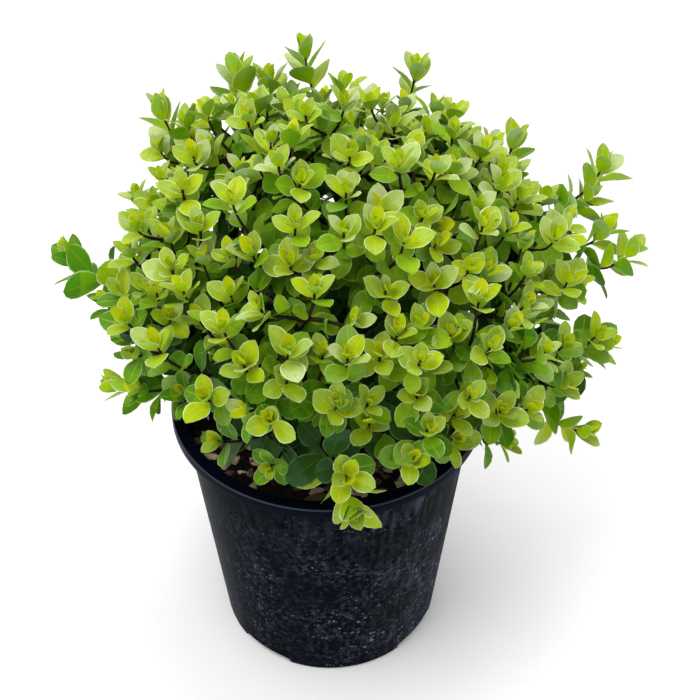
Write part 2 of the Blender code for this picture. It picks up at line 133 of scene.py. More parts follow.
# The crown's rule, as the solids have it: every reach is measured from the crown's centre.
TRUNK_FOOT = Vector((0.014, -0.004, 0.1758))
TRUNK_TOP = Vector((0.017, -0.002, 0.216))
TRUNK_RADII = ((0.0, 0.0092), (0.10, 0.0076), (0.30, 0.0066), (0.62, 0.0060), (1.0, 0.0056))
TRUNK_STEPS = 32
TRUNK_SUNK = 0.0004
TRUNK_CAP = (0.0022, 0.0036)
CROWN_CENTRE = Vector((0.012, 0.0, 0.250))
SOLID_TIPS = 94
TIP_SEED = 8
TIP_TRIES = 24
TIP_LOWEST = -0.4
REACH_SPREAD = 0.008
REACH_BLEND = 9.0
SHOOT_LIFTS = (0.46, 0.80)
LIFT_HEIGHTS = (-0.15, 0.35)
HEM_HEIGHT = 0.207
HEM_RISE = 0.28
HEM_TILT = 0.15
FINE_HEM_SPARE = 0.032
FINE_REACH = (-0.015, 0.011)
LOW_THINNING = 0.52
THINNED_HEIGHTS = (0.50, -0.12)
LOW_UNDER = 0.55

# Each mass's name, and the compass angle, angle above level and reach of its own shoot.
MASSES = (
    ("top_right", 30, 66, 0.126),
    ("top_left", 150, 66, 0.141),
    ("top_front", 270, 66, 0.140),
    ("right", 18, 27, 0.140),
    ("back_right", 78, 32, 0.126),
    ("back_left", 136, 30, 0.143),
    ("left", 190, 28, 0.138),
    ("front_left", 246, 27, 0.140),
    ("front_right", 306, 27, 0.139),
    ("skirt_right", 352, -9, 0.143),
    ("skirt_back_right", 43, -8, 0.140),
    ("skirt_back", 95, -8, 0.140),
    ("skirt_back_left", 146, -8, 0.140),
    ("skirt_left", 198, -9, 0.131),
    ("skirt_front_left", 249, -8, 0.116),
    ("skirt_front_right", 302, -4, 0.112),
)

# The shoots that stand out of the crown: compass angle, angle above level and reach.
PROUD_SHOOTS = (
    (67, 48, 0.157),
    (104, 50, 0.164),
    (124, 44, 0.163),
    (144, 35, 0.167),
    (172, 11, 0.170),
    (21, 24, 0.179),
    (9, 11, 0.176),
    (36, 34, 0.149),
    (357, -4, 0.155),
    (343, -18, 0.147),
    (190, -12, 0.137),
    (13, 15, 0.163),
    (19, 21, 0.165),
    (117, 47, 0.150),
    (139, 38, 0.147),
    (272, -22, 0.108),
)
PROUD_VIGOUR = 1.42
LEFT_VIGOUR = 0.17
PROUD_SPARE = 0.003
PROUD_DROP = 0.036
PROUD_DROP_FROM = -0.06

# Where boughs leave the trunk: from this angle above level, at this share of its height, with this heading.
TIERS = ((-90, 0.46, 28), (10, 0.78, 48), (50, 1.0, 76))
TIER_SPREAD = 0.0068
TOP_TIER_SPREAD = 0.0027
BOUGH_RADIUS = 0.0021
BOUGH_TIP_RADIUS = 0.0016
BOUGH_FOOT = 0.002
BOUGH_SHARE = 0.40
BOUGH_LIFT = 0.35
BOUGH_BARE = 6
BOUGH_SCARS = 0.011
STEM_RADIUS = 0.0017
TWIG_SHARE = 0.8
FORKS = (0.10, 0.52)
FINE_FORKS = (0.38, 0.70)
LONG_PULL, SHORT_PULL = 0.36, 0.34
BOUGH_STEPS, STEM_STEPS, TWIG_STEPS, FINE_STEPS = 14, 18, 14, 11
LIMB_SEED = 3.0
GOLDEN_DEG = 137.508
FIRST_LEAF_SEED = 500

# A leaf's outline, pointed when young and rounder as it grows: places along the blade, and the share of its
# half width at each.
POINTED_ROWS = (
    (0.0, 0.07), (0.08, 0.16), (0.22, 0.61), (0.38, 0.92), (0.55, 1.0), (0.72, 0.83), (0.88, 0.44))
ROUND_ROWS = (
    (0.0, 0.07), (0.09, 0.14), (0.25, 0.60), (0.42, 0.90), (0.60, 1.0), (0.79, 0.88), (0.93, 0.54))
LEAF_COLUMNS = (-1.0, -0.90, -0.045, 0.045, 0.90, 1.0)
FOLD_POWER = 1.4
MARGIN_WAVES = 7
BEND_DRAWN_IN = 0.35

# How much a shoot's size, and a leaf's own size, width and place, may be off the usual ones.
SHOOT_SIZES = (0.88, 1.12)
LEAF_SIZES = (0.86, 1.10)
LEAF_WIDTHS = (0.92, 1.08)
LEAF_WAVES = (0.0, 0.06)
TURN_SPREAD_DEG, TILT_SPREAD_DEG = 12, 8
ROLL_SPREAD, FOLD_SPREAD, BEND_SPREAD = 0.22, 0.05, 0.05
ROUND_SPREAD = 0.25

# Where a shoot's leaves stand: the bud's place, the gap under the rosette in leaf steps, and the bare share
# at the shoot's foot. Stem leaves age from this far below the tip, over the first length on a high shoot and
# the second on a low one.
BUD_PLACE = 0.0006
ROSETTE_GAP = 2.4
SHOOT_BARE = 0.05
AGEING_FROM = 0.011
AGEING_LENGTHS = (0.040, 0.026)

# A vigorous shoot has more leaves in its rosette, a longer rosette and younger leaves under it.
VIGOUR_LEAVES = 8
VIGOUR_STRETCH = 3
VIGOUR_YOUTH = 0.6

# How much painted shade and chance ripen a rosette, the shade greening the left side's rosettes; how deep
# leaves stay green on a lit and on a shaded shoot; what age and shade count for towards a deep leaf, the
# shade in both being painted as darker leaves; and how much rounder leaves are on a low shoot.
PAINTED_SHADE_GREENING, CHANCE_RIPENS = 2.2, 0.42
GREEN_DEPTHS = (0.46, 0.20)
DEEP_WEIGHTS, DEEP_OVER = (0.6, 0.7), 0.72
LOW_ROUNDNESS = 0.5

# Which of its four tones each band of a blade takes, from the foot to the tip.
LEAF_BANDS = (0, 0, 0, 1, 2, 2, 3)

# Each kind of leaf has its own piece, and choices of four tones from a blade's foot to its tip; the pale,
# sage and haze tones are a painted sheen. Grown leaves take the later, darker choices as painted shade, and
# young leaves take the later, paler choices as painted light where the light comes through.
LEAF_KINDS = {
    "bud": ("gold gold gold lemon", "gold gold lemon lime"),
    "young": ("lemon lime lime fresh", "lemon lime fresh fresh", "lime lime fresh pale",
              "lime fresh fresh pale", "lime fresh pale sage", "fresh pale sage sage"),
    "green": ("warm warm warm mid", "warm mid mid mid", "mid mid haze haze", "mid mid cool cool",
              "cool cool cool cool", "cool cool shade dim"),
    "old": ("shade shade shade shade", "shade shade dim dim", "dim dim dim dim", "dim dim dim dark"),
    "deep": ("dim dark dark dark", "dark dark dark dark", "dark dark blue blue"),
}
# How far painted shade takes grown leaves to their darker choices, and painted shade and painted light take
# young leaves to their earlier and their later, paler choices; how much more shade is painted on the left
# than on the right; and the most painted shade a shoot takes.
PAINTED_SHADE_CHOICE = 0.52
YOUNG_CHOICE = 0.45
SIDE_LIGHT = 0.45
DARKEST_SHADE = 1.2

# The stage. Each light's place, size and power.
CAMERA_TARGET = Vector((0.0141, 0.0, 0.2268))
FLOOR_HALF = 6.0
SKY_STRENGTH = 0.90
LIGHTS_TARGET = Vector((0.0, 0.0, 0.2))
LIGHTS = {
    "key_light": ((-0.5, -0.5, 1.7), 0.9, 14.0),
    "top_light": ((0.25, 0.35, 1.9), 1.2, 12.0),
}


class PotSettings(bpy.types.PropertyGroup):
    """The nursery pot."""

    rim_radius: FloatProperty(
        name="Rim radius", description="Outer radius of the rim", default=POT_BOX[1].x, unit="LENGTH")
    base_radius: FloatProperty(
        name="Base radius", description="Outer radius at the foot", default=0.0763, unit="LENGTH")
    height: FloatProperty(
        name="Height", description="Height of the rim over the floor", default=POT_BOX[1].z, unit="LENGTH")
    segments: IntProperty(
        name="Segments", description="Steps round the pot", default=128, min=16)
    colour: FloatVectorProperty(
        name="Plastic", description="Colour of the clean plastic", subtype="COLOR",
        default=(0.0010, 0.0021, 0.0048))
    dust: FloatVectorProperty(
        name="Dust", description="Colour of the dry dust on the wall", subtype="COLOR",
        default=(0.088, 0.104, 0.140))


class MixSettings(bpy.types.PropertyGroup):
    """The potting mix and its bark chips."""

    relief: FloatProperty(
        name="Relief", description="Height of the surface's bumps", default=0.0030, unit="LENGTH")
    chip_length: FloatProperty(
        name="Chip length", description="Length of the largest bark chips", default=0.017, unit="LENGTH")
    chip_density: FloatProperty(
        name="Chip density", description="Bark chips on each square metre", default=9000.0)
    colour: FloatVectorProperty(
        name="Mix", description="Colour of the moist mix", subtype="COLOR", default=(0.009, 0.006, 0.0045))
    chip_colour: FloatVectorProperty(
        name="Chips", description="Colour of the bark chips", subtype="COLOR", default=(0.17, 0.105, 0.062))


class LimbSettings(bpy.types.PropertyGroup):
    """The trunk, boughs and twigs."""

    relief: FloatProperty(
        name="Bark relief", description="Depth of the bark, as a share of the limb's radius", default=0.42)
    knot: FloatProperty(
        name="Leaf scars", description="How far a scar stands out, as a share of the twig's radius",
        default=0.34)
    twig_radius: FloatProperty(
        name="Twig radius", description="Radius of a fine twig where it forks", default=0.0011,
        unit="LENGTH")
    tip_radius: FloatProperty(
        name="Tip radius", description="Radius of a shoot at its tip", default=0.00062, unit="LENGTH")
    bark: FloatVectorProperty(
        name="Bark", description="Colour of the old bark", subtype="COLOR", default=(0.080, 0.047, 0.030))
    twig: FloatVectorProperty(
        name="Twigs", description="Colour of the young stems", subtype="COLOR",
        default=(0.032, 0.015, 0.010))


class CrownSettings(bpy.types.PropertyGroup):
    """The shoots and leaves."""

    shoots: IntProperty(
        name="Shoots", description="Number of leafy shoots in the crown", default=280, min=SOLID_TIPS)
    rosette: IntProperty(
        name="Rosette", description="Leaves in the rosette at a shoot's tip", default=8, min=3)
    young_leaf: FloatProperty(
        name="Young leaf", description="Length of the rosette's largest leaf", default=0.0180, unit="LENGTH")
    old_leaf: FloatProperty(
        name="Old leaf", description="Length of the lowest leaves", default=0.0280, unit="LENGTH")
    step: FloatProperty(
        name="Leaf step", description="Distance between leaves under the rosette", default=0.0043,
        unit="LENGTH")
    width: FloatProperty(
        name="Leaf width", description="A grown leaf's width as a share of its length", default=0.64)


class StageSettings(bpy.types.PropertyGroup):
    """The camera, floor and lights."""

    elevation: FloatProperty(
        name="Camera angle", description="The camera's angle above level", subtype="ANGLE",
        default=math.radians(40.05))
    distance: FloatProperty(
        name="Camera distance", description="From the camera to its target", default=0.7015, unit="LENGTH")
    lens: FloatProperty(
        name="Lens", description="Focal length on a 36 mm sensor, in millimetres", default=58.11)
    roll: FloatProperty(
        name="Roll", description="The camera's roll", subtype="ANGLE", default=math.radians(0.10))
    floor: FloatVectorProperty(
        name="Floor", description="Colour of the floor", subtype="COLOR", default=(0.92, 0.92, 0.92))


# Number and node helpers.


def clamp(value):
    return min(1.0, max(0.0, value))


def fade(first, last, share):
    return first + (last - first) * share


def put(tree, kind, inputs=None, **settings):
    """Adds a node with its settings, and gives each named or numbered input a value or a link."""
    node = tree.nodes.new(kind)
    for name, value in settings.items():
        setattr(node, name, value)
    for key, value in (inputs or {}).items():
        if isinstance(value, bpy.types.NodeSocket):
            tree.links.new(value, node.inputs[key])
        else:
            node.inputs[key].default_value = value
    return node


def calc(tree, operation, *values):
    return put(tree, "ShaderNodeMath", dict(enumerate(values)), operation=operation).outputs[0]


def times(tree, first, *others):
    for other in others:
        first = calc(tree, "MULTIPLY", first, other)
    return first


def vector_calc(tree, operation, *values):
    return put(tree, "ShaderNodeVectorMath", dict(enumerate(values)), operation=operation).outputs[0]


def grain(tree, place, scale, detail, output="Fac"):
    inputs = {"Vector": place, "Scale": scale, "Detail": detail}
    return put(tree, "ShaderNodeTexNoise", inputs).outputs[output]


def remap(tree, value, low, high, to_low=0.0, to_high=1.0):
    """Carries the range from low to high over to another, and holds the value within it."""
    inputs = {"Value": value, "From Min": low, "From Max": high, "To Min": to_low, "To Max": to_high}
    return put(tree, "ShaderNodeMapRange", inputs).outputs[0]


def blend(tree, share, first, second):
    return put(tree, "ShaderNodeMix", {0: share, 6: first, 7: second}, data_type="RGBA").outputs[2]


def rgba(colour, scale=1.0):
    return tuple(min(1.0, c * scale) for c in colour[:3]) + (1.0,)


def new_group(name, kind, inputs, outputs):
    """A node group with its named inputs and outputs, and the sockets of its two end nodes."""
    tree = bpy.data.node_groups.new(name, kind)
    for label, (socket_kind, value) in inputs.items():
        socket = tree.interface.new_socket(label, in_out="INPUT", socket_type="NodeSocket" + socket_kind)
        if value is not None:
            socket.default_value = value
    for label, socket_kind in outputs.items():
        tree.interface.new_socket(label, in_out="OUTPUT", socket_type="NodeSocket" + socket_kind)
    return tree, tree.nodes.new("NodeGroupInput").outputs, tree.nodes.new("NodeGroupOutput").inputs


def shared(name, build):
    """The node group of this name, built when it is first asked for."""
    return bpy.data.node_groups.get(name) or build(name)


def end_tree(tree, geometry, given, out):
    """Ends a Geometry Nodes tree: its instances become real and take the given material."""
    real = put(tree, "GeometryNodeRealizeInstances", {"Geometry": geometry}).outputs[0]
    done = put(tree, "GeometryNodeSetMaterial", {"Geometry": real, "Material": given["Material"]})
    tree.links.new(done.outputs[0], out["Geometry"])
    return tree


# Shader groups and materials.

FINISH_OUTPUTS = {"Colour": "Color", "Roughness": "Float", "Height": "Float"}


def mottle_group(name):
    """Uneven colour, gloss and height, as on leaves, bark, chips and mix."""
    inputs = {
        "Colour": ("Color", (0.5, 0.5, 0.5, 1)), "Deep": ("Color", (0.3, 0.3, 0.3, 1)),
        "Scale": ("Float", 200.0), "Upright": ("Float", 1.0), "Smooth": ("Float", 0.4),
        "Rough": ("Float", 0.6)}
    tree, given, out = new_group(name, "ShaderNodeTree", inputs, FINISH_OUTPUTS)
    place = put(tree, "ShaderNodeTexCoord").outputs["Object"]
    stretch = put(tree, "ShaderNodeCombineXYZ", {"X": 1.0, "Y": 1.0, "Z": given["Upright"]}).outputs[0]
    place = vector_calc(tree, "MULTIPLY", place, stretch)
    broad = grain(tree, place, given["Scale"], 3.0)
    fine = grain(tree, place, times(tree, given["Scale"], 5.3), 2.0)
    both = calc(tree, "ADD", times(tree, broad, 0.65), times(tree, fine, 0.35))
    share = remap(tree, both, 0.36, 0.64)
    tree.links.new(blend(tree, share, given["Deep"], given["Colour"]), out["Colour"])
    tree.links.new(remap(tree, share, 0.0, 1.0, given["Rough"], given["Smooth"]), out["Roughness"])
    tree.links.new(both, out["Height"])
    return tree


def dust_group(name):
    """Dry dust on dark plastic: blotches, upright smudges near the top, and clustered specks lower down.

    The dust grows towards the right side, partly as a painted sheen there.
    """
    inputs = {
        "Plastic": ("Color", (0.01, 0.01, 0.01, 1)), "Dust": ("Color", (0.1, 0.1, 0.1, 1)),
        "Earth": ("Color", EARTH), "Specks": ("Color", SPECKS), "Amount": ("Float", 1.0)}
    tree, given, out = new_group(name, "ShaderNodeTree", inputs, FINISH_OUTPUTS)
    place = put(tree, "ShaderNodeTexCoord").outputs["Object"]
    part = put(tree, "ShaderNodeSeparateXYZ", {0: place}).outputs
    smudge = grain(tree, vector_calc(tree, "MULTIPLY", place, (1.0, 1.0, 0.22)), 260.0, 3.0)
    broad = grain(tree, place, 26.0, 2.0)
    blotch = grain(tree, place, 280.0, 4.0)
    # More blotches and specks towards the right: partly dust, partly a painted sheen on that side.
    right_dust_and_sheen = remap(tree, part["X"], -0.09, 0.04, 0.30, 1.0)
    cluster = times(tree, remap(tree, broad, 0.42, 0.60, 0.10, 1.0), right_dust_and_sheen)
    upper = remap(tree, part["Z"], 0.060, 0.150, 0.03, 0.14)
    # Strong smudges at the right edge: partly dust, partly a painted sheen on that side.
    upper = calc(tree, "ADD", upper, remap(tree, part["X"], 0.020, 0.070, 0.0, 0.55))
    lower = remap(tree, part["Z"], 0.165, 0.120, 0.24, 1.0)
    smudged = times(tree, remap(tree, smudge, 0.40, 0.74), upper)
    patches = remap(tree, blotch, 0.47, 0.76, 0.0, 0.50)
    blotched = times(tree, patches, lower, remap(tree, cluster, 0.0, 1.0, 0.35, 1.0))
    uneven = grain(tree, place, 520.0, 2.0, "Color")
    uneven = vector_calc(tree, "MULTIPLY_ADD", uneven, (0.003, 0.003, 0.003), place)
    specks = 0.0
    for scale, largest, faint in ((230.0, 0.40, 0.04), (400.0, 0.46, 0.12)):
        cell = put(tree, "ShaderNodeTexVoronoi", {"Vector": uneven, "Scale": scale})
        lot = put(tree, "ShaderNodeSeparateColor", {0: cell.outputs["Color"]}).outputs[0]
        reach = remap(tree, lot, 0.40, 1.0, 0.06, largest)
        dot = remap(tree, calc(tree, "SUBTRACT", reach, cell.outputs["Distance"]), 0.0, 0.20)
        bright = calc(tree, "POWER", remap(tree, lot, 0.40, 1.0, faint, 1.0), 1.8)
        specks = calc(tree, "MAXIMUM", specks, times(tree, dot, bright))
    speckled = times(tree, specks, cluster, lower)
    smudged, blotched, speckled = (
        times(tree, share, given["Amount"]) for share in (smudged, blotched, speckled))
    earthy = blend(tree, remap(tree, broad, 0.62, 0.46), given["Dust"], given["Earth"])
    colour = blend(tree, blotched, given["Plastic"], given["Dust"])
    colour = blend(tree, smudged, colour, earthy)
    colour = blend(tree, speckled, colour, given["Specks"])
    covered = calc(tree, "MAXIMUM", blotched, calc(tree, "MAXIMUM", smudged, speckled))
    tree.links.new(colour, out["Colour"])
    tree.links.new(remap(tree, covered, 0.0, 0.4, 0.34, 0.70), out["Roughness"])
    tree.links.new(calc(tree, "ADD", covered, times(tree, blotch, 0.5)), out["Height"])
    return tree


def finish_material(name, group, inputs, bump, underside=None, specular=0.5, ior=1.5):
    """A Principled material whose colour, gloss and relief come from a shared group."""
    made = bpy.data.materials.new(name)
    made.use_nodes = True
    tree = made.node_tree
    shader = tree.nodes["Principled BSDF"]
    shader.inputs["Specular IOR Level"].default_value = specular
    shader.inputs["IOR"].default_value = ior
    effect = put(tree, "ShaderNodeGroup", node_tree=group)
    for key, value in inputs.items():
        effect.inputs[key].default_value = value
    colour = effect.outputs["Colour"]
    if underside:
        back = put(tree, "ShaderNodeNewGeometry").outputs["Backfacing"]
        colour = blend(tree, times(tree, back, 0.85), colour, rgba(underside))
    tree.links.new(colour, shader.inputs["Base Color"])
    tree.links.new(effect.outputs["Roughness"], shader.inputs["Roughness"])
    raised = {"Height": effect.outputs["Height"], "Strength": 0.6, "Distance": bump}
    tree.links.new(put(tree, "ShaderNodeBump", raised).outputs[0], shader.inputs["Normal"])
    return made


def mottled(name, colour, deep, scale, gloss, bump, upright=1.0, underside=None, specular=0.5):
    """A mottled finish: two colours, the roughness in each, and the height of its relief."""
    inputs = {"Colour": rgba(colour), "Deep": rgba(deep), "Scale": scale, "Upright": upright,
              "Smooth": gloss[0], "Rough": gloss[1]}
    return finish_material(name, shared("mottle", mottle_group), inputs, bump, underside, specular)


# Mesh helpers.


def add_object(name, data):
    obj = bpy.data.objects.new(name, data)
    bpy.context.scene.collection.objects.link(obj)
    return obj


def new_piece(name, verts, faces, materials, edges=()):
    mesh = bpy.data.meshes.new(name)
    mesh.from_pydata([tuple(v) for v in verts], edges, faces)
    for material in materials:
        mesh.materials.append(material)
    return add_object(name, mesh)


def smooth(obj, sharp_deg):
    """Shades the object smooth, with the edges over this angle kept sharp."""
    obj.data.shade_smooth()
    obj.data.set_sharp_from_angle(angle=math.radians(sharp_deg))


def apply_modifiers(obj):
    """Replaces the object's mesh by what its modifiers make of it."""
    bpy.context.view_layer.update()
    graph = bpy.context.evaluated_depsgraph_get()
    made = bpy.data.meshes.new_from_object(obj.evaluated_get(graph))
    obj.modifiers.clear()
    obj.data = made
    made.name = obj.name


def run_tree(obj, tree, values):
    """Runs a Geometry Nodes tree on the object with its named inputs set, and keeps the result."""
    modifier = obj.modifiers.new(tree.name, "NODES")
    modifier.node_group = tree
    for item in tree.interface.items_tree:
        if item.in_out == "INPUT" and item.name in values:
            modifier[item.identifier] = values[item.name]
    apply_modifiers(obj)


def dress(obj, slot, *nodes):
    """The piece rides with the object and stands for these solids. The slot is not used."""
    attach(obj, "root")
    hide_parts(*nodes)


def lathe(profile, segments):
    """A closed turned shape from a section that starts and ends on the axis."""
    verts, rings, faces = [], [], []
    for radius, height in profile:
        if radius <= 0.0:
            rings.append([len(verts)] * segments)
            verts.append((0.0, 0.0, height))
            continue
        rings.append([len(verts) + i for i in range(segments)])
        for i in range(segments):
            turn = 2 * math.pi * i / segments
            verts.append((radius * math.cos(turn), radius * math.sin(turn), height))
    for low, high in zip(rings, rings[1:]):
        for i in range(segments):
            j = (i + 1) % segments
            faces.append(tuple(dict.fromkeys((low[i], low[j], high[j], high[i]))))
    return verts, faces


def rounded(corners, steps=4):
    """A section's corners, each with its own radius, turned into points."""
    points = []
    for k, (x, y, radius) in enumerate(corners):
        corner = Vector((x, y))
        if not radius:
            points.append(tuple(corner))
            continue
        before = (Vector(corners[k - 1][:2]) - corner).normalized() * radius + corner
        after = (Vector(corners[k + 1][:2]) - corner).normalized() * radius + corner
        for i in range(steps + 1):
            t = i / steps
            points.append(tuple(before * (1 - t) ** 2 + corner * 2 * t * (1 - t) + after * t * t))
    return points


# The crown's rule.


def direction(compass_deg, above_deg):
    compass, above = math.radians(compass_deg), math.radians(above_deg)
    level = math.cos(above)
    return Vector((level * math.cos(compass), level * math.sin(compass), math.sin(above)))


def bezier(start, start_pull, end_pull, end, steps):
    points = []
    for k in range(steps + 1):
        t = k / steps
        s = 1 - t
        points.append(start * s**3 + start_pull * 3 * s * s * t + end_pull * 3 * s * t * t + end * t**3)
    return points


def length_of(line):
    return sum((b - a).length for a, b in zip(line, line[1:]))


def point_along(line, share):
    """The point a share of the way along a line, and the line's direction there."""
    left = share * length_of(line)
    for a, b in zip(line, line[1:]):
        length = (b - a).length
        if left <= length:
            return a.lerp(b, left / length), (b - a).normalized()
        left -= length
    return line[-1].copy(), (line[-1] - line[-2]).normalized()


def usual_reach(toward):
    total = weight = 0.0
    for _, compass, above, reach in MASSES:
        near = math.exp(REACH_BLEND * (toward.dot(direction(compass, above)) - 1))
        total += near * reach
        weight += near
    return total / weight


def above_hem(point, spare):
    return point.z > spare + HEM_HEIGHT + HEM_RISE * max(0.0, -point.y) - HEM_TILT * point.x


def crowding(toward):
    """How close fine shoots may stand: fully at mid height and over it, less towards the hem."""
    high, low = THINNED_HEIGHTS
    return 1.0 - LOW_THINNING * clamp((high - toward.z) / (high - low))


def shoot_tips(count):
    """Directions and reaches of the shoots, the same as the solids' as far as those go."""
    rng = random.Random(TIP_SEED)
    tips = [(direction(compass, above), reach) for _, compass, above, reach in MASSES]
    for compass, above, reach in PROUD_SHOOTS:
        toward = direction(compass, above)
        tips.append((toward, reach + PROUD_SPARE + PROUD_DROP * max(0.0, PROUD_DROP_FROM - toward.z)))
    while len(tips) < count:
        spare = 0.0 if len(tips) < SOLID_TIPS else FINE_HEM_SPARE
        best, best_gap = None, -1.0
        for _ in range(TIP_TRIES):
            height = rng.uniform(TIP_LOWEST, 1.0)
            turn = rng.uniform(0, 2 * math.pi)
            level = math.sqrt(1 - height * height)
            toward = Vector((level * math.cos(turn), level * math.sin(turn), height))
            gap = min((toward - other).length for other, _ in tips)
            gap *= crowding(toward) if spare else 1.0
            if gap > best_gap and above_hem(CROWN_CENTRE + toward * usual_reach(toward), spare):
                best, best_gap = toward, gap
        if best:
            spread = rng.uniform(-1, 1) * REACH_SPREAD
            if spare:
                spread = fade(*FINE_REACH, (spread / REACH_SPREAD + 1) / 2)
            tips.append((best, usual_reach(best) + spread))
    return tips


def mass_of(toward):
    nearness = [toward.dot(direction(compass, above)) for _, compass, above, _ in MASSES]
    return nearness.index(max(nearness))


def shoot_heading(toward):
    """A shoot's direction at its tip, steeper the higher it stands in the crown."""
    low, high = LIFT_HEIGHTS
    lift = fade(*SHOOT_LIFTS, clamp((toward.z - low) / (high - low)))
    return (toward * (1 - lift) + Vector((0, 0, lift))).normalized()


def bough_line(mass):
    """The bough's centre line, from inside the trunk to where it enters its mass."""
    _, compass, above, reach = mass
    share, start_above = next((s, a) for low, s, a in reversed(TIERS) if above >= low)
    outward, heading = direction(compass, 0), direction(compass, start_above)
    axis = TRUNK_FOOT.lerp(TRUNK_TOP, share)
    start = axis + outward * (TOP_TIER_SPREAD if share == 1.0 else TIER_SPREAD)
    toward = direction(compass, above)
    end = CROWN_CENTRE + toward * reach * BOUGH_SHARE
    span = (end - start).length
    lift = (toward + Vector((0, 0, BOUGH_LIFT))).normalized()
    pulls = start + heading * span * LONG_PULL, end - lift * span * SHORT_PULL
    return [axis.lerp(start, 0.2) - heading * BOUGH_FOOT] + bezier(start, *pulls, end, BOUGH_STEPS)


def shoot_line(fork, along, toward, reach, steps):
    """A twig that leaves a fork along its parent and turns up into the shoot's tip."""
    end = CROWN_CENTRE + toward * reach
    span = (end - fork).length
    leave = (along + (end - fork).normalized()).normalized()
    pulls = fork + leave * span * SHORT_PULL, end - shoot_heading(toward) * span * LONG_PULL
    return bezier(fork, *pulls, end, steps)


def crown_lines(count):
    """Every twig's centre line, radius at the fork, vigour, and how low and how shaded its shoot stands.

    The low shoots are the shaded ones, more so on the left than on the right, and this shade is painted into
    their leaves as darker tones. High ones at the back are lit through, so their shade is negative and is
    painted as paler young leaves. A radius of 0 stands for the fine twigs' own.
    """
    tips = shoot_tips(count)
    proud = range(len(MASSES), len(MASSES) + len(PROUD_SHOOTS))
    lines = []

    def add(line, radius, k):
        toward = tips[k][0]
        low = 1.0 - clamp(toward.z / LOW_UNDER)
        vigour = PROUD_VIGOUR - LEFT_VIGOUR * toward.x if k in proud else 1.0
        # Painted shade for the shoot's leaves: darker when low, more so on the left; negative, painted
        # light, when high at the back.
        shaded = min(DARKEST_SHADE, low * (1 - SIDE_LIGHT * toward.x))
        shaded -= (1 - low) * max(0.0, toward.y)
        lines.append((line, radius, vigour, low, shaded))

    for number, mass in enumerate(MASSES):
        bough = bough_line(mass)
        onward = (bough[-1] - bough[-2]).normalized()
        toward, reach = tips[number]
        tip = CROWN_CENTRE + toward * reach
        pull = (tip - bough[-1]).length * LONG_PULL
        pulls = bough[-1] + onward * pull, tip - shoot_heading(toward) * pull
        stem = bezier(bough[-1], *pulls, tip, STEM_STEPS)
        add(stem, STEM_RADIUS, number)
        coarse = [stem]
        mine = [k for k in range(len(MASSES), len(tips)) if mass_of(tips[k][0]) == number]
        first = sorted((k for k in mine if k < SOLID_TIPS), key=lambda k: tips[k][0].dot(toward))
        for order, k in enumerate(first):
            fork, along = point_along(stem, fade(*FORKS, (order + 0.5) / len(first)))
            coarse.append(shoot_line(fork, along, *tips[k], TWIG_STEPS))
            add(coarse[-1], STEM_RADIUS * TWIG_SHARE, k)
        for k in (k for k in mine if k >= SOLID_TIPS):
            end = CROWN_CENTRE + tips[k][0] * tips[k][1]
            parent = min(coarse, key=lambda line: (line[-1] - end).length)
            fork, along = point_along(parent, random.Random(k).uniform(*FINE_FORKS))
            add(shoot_line(fork, along, *tips[k], FINE_STEPS), 0.0, k)
    return lines


# Limbs.


def limb_tree(name):
    """Turns lines that carry a 'thick' value into round limbs with bark relief."""
    inputs = {
        "Geometry": ("Geometry", None), "Sides": ("Int", 8), "Relief": ("Float", 0.2),
        "Relief scale": ("Float", 300.0), "Seed": ("Float", LIMB_SEED), "Material": ("Material", None)}
    tree, given, out = new_group(name, "GeometryNodeTree", inputs, {"Geometry": "Geometry"})
    curve = put(tree, "GeometryNodeMeshToCurve", {"Mesh": given["Geometry"]}).outputs[0]
    thick = put(tree, "GeometryNodeInputNamedAttribute", {"Name": "thick"}, data_type="FLOAT").outputs[0]
    ring = put(tree, "GeometryNodeCurvePrimitiveCircle", {"Resolution": given["Sides"], "Radius": 1.0})
    tube = put(tree, "GeometryNodeCurveToMesh",
               {"Curve": curve, "Profile Curve": ring.outputs[0], "Scale": thick, "Fill Caps": True})
    place = put(tree, "GeometryNodeInputPosition").outputs[0]
    bark = put(tree, "ShaderNodeTexNoise",
               {"Vector": place, "W": given["Seed"], "Scale": given["Relief scale"], "Detail": 3.0},
               noise_dimensions="4D").outputs["Fac"]
    depth = times(tree, calc(tree, "SUBTRACT", bark, 0.5), given["Relief"], thick)
    normal = put(tree, "GeometryNodeInputNormal").outputs[0]
    push = put(tree, "ShaderNodeVectorMath", {0: normal, "Scale": depth}, operation="SCALE").outputs[0]
    moved = put(tree, "GeometryNodeSetPosition", {"Geometry": tube.outputs[0], "Offset": push})
    shaded = put(tree, "GeometryNodeSetShadeSmooth", {"Geometry": moved.outputs[0]})
    return end_tree(tree, shaded.outputs[0], given, out)


def limb_piece(name, lines, sides, relief, relief_scale, material):
    """One piece from many lines, each a list of points with a radius at every point."""
    verts, edges, thick = [], [], []
    for points, radii in lines:
        first = len(verts)
        verts += points
        edges += [(first + k, first + k + 1) for k in range(len(points) - 1)]
        thick += radii
    piece = new_piece(name, verts, [], [], edges)
    piece.data.attributes.new("thick", "FLOAT", "POINT").data.foreach_set("value", thick)
    run_tree(piece, shared("limbs", limb_tree), {
        "Sides": sides, "Relief": relief, "Relief scale": relief_scale, "Seed": LIMB_SEED,
        "Material": material})
    return piece


def scarred(points, first, last, knot, every):
    """Radii that taper along a line and swell a little at each leaf scar."""
    length = length_of(points)
    radii, along = [], 0.0
    for k, point in enumerate(points):
        along += (point - points[k - 1]).length if k else 0.0
        swell = max(0.0, math.cos(2 * math.pi * along / every)) ** 6
        radii.append(fade(first, last, along / length) * (1 + knot * swell))
    return radii


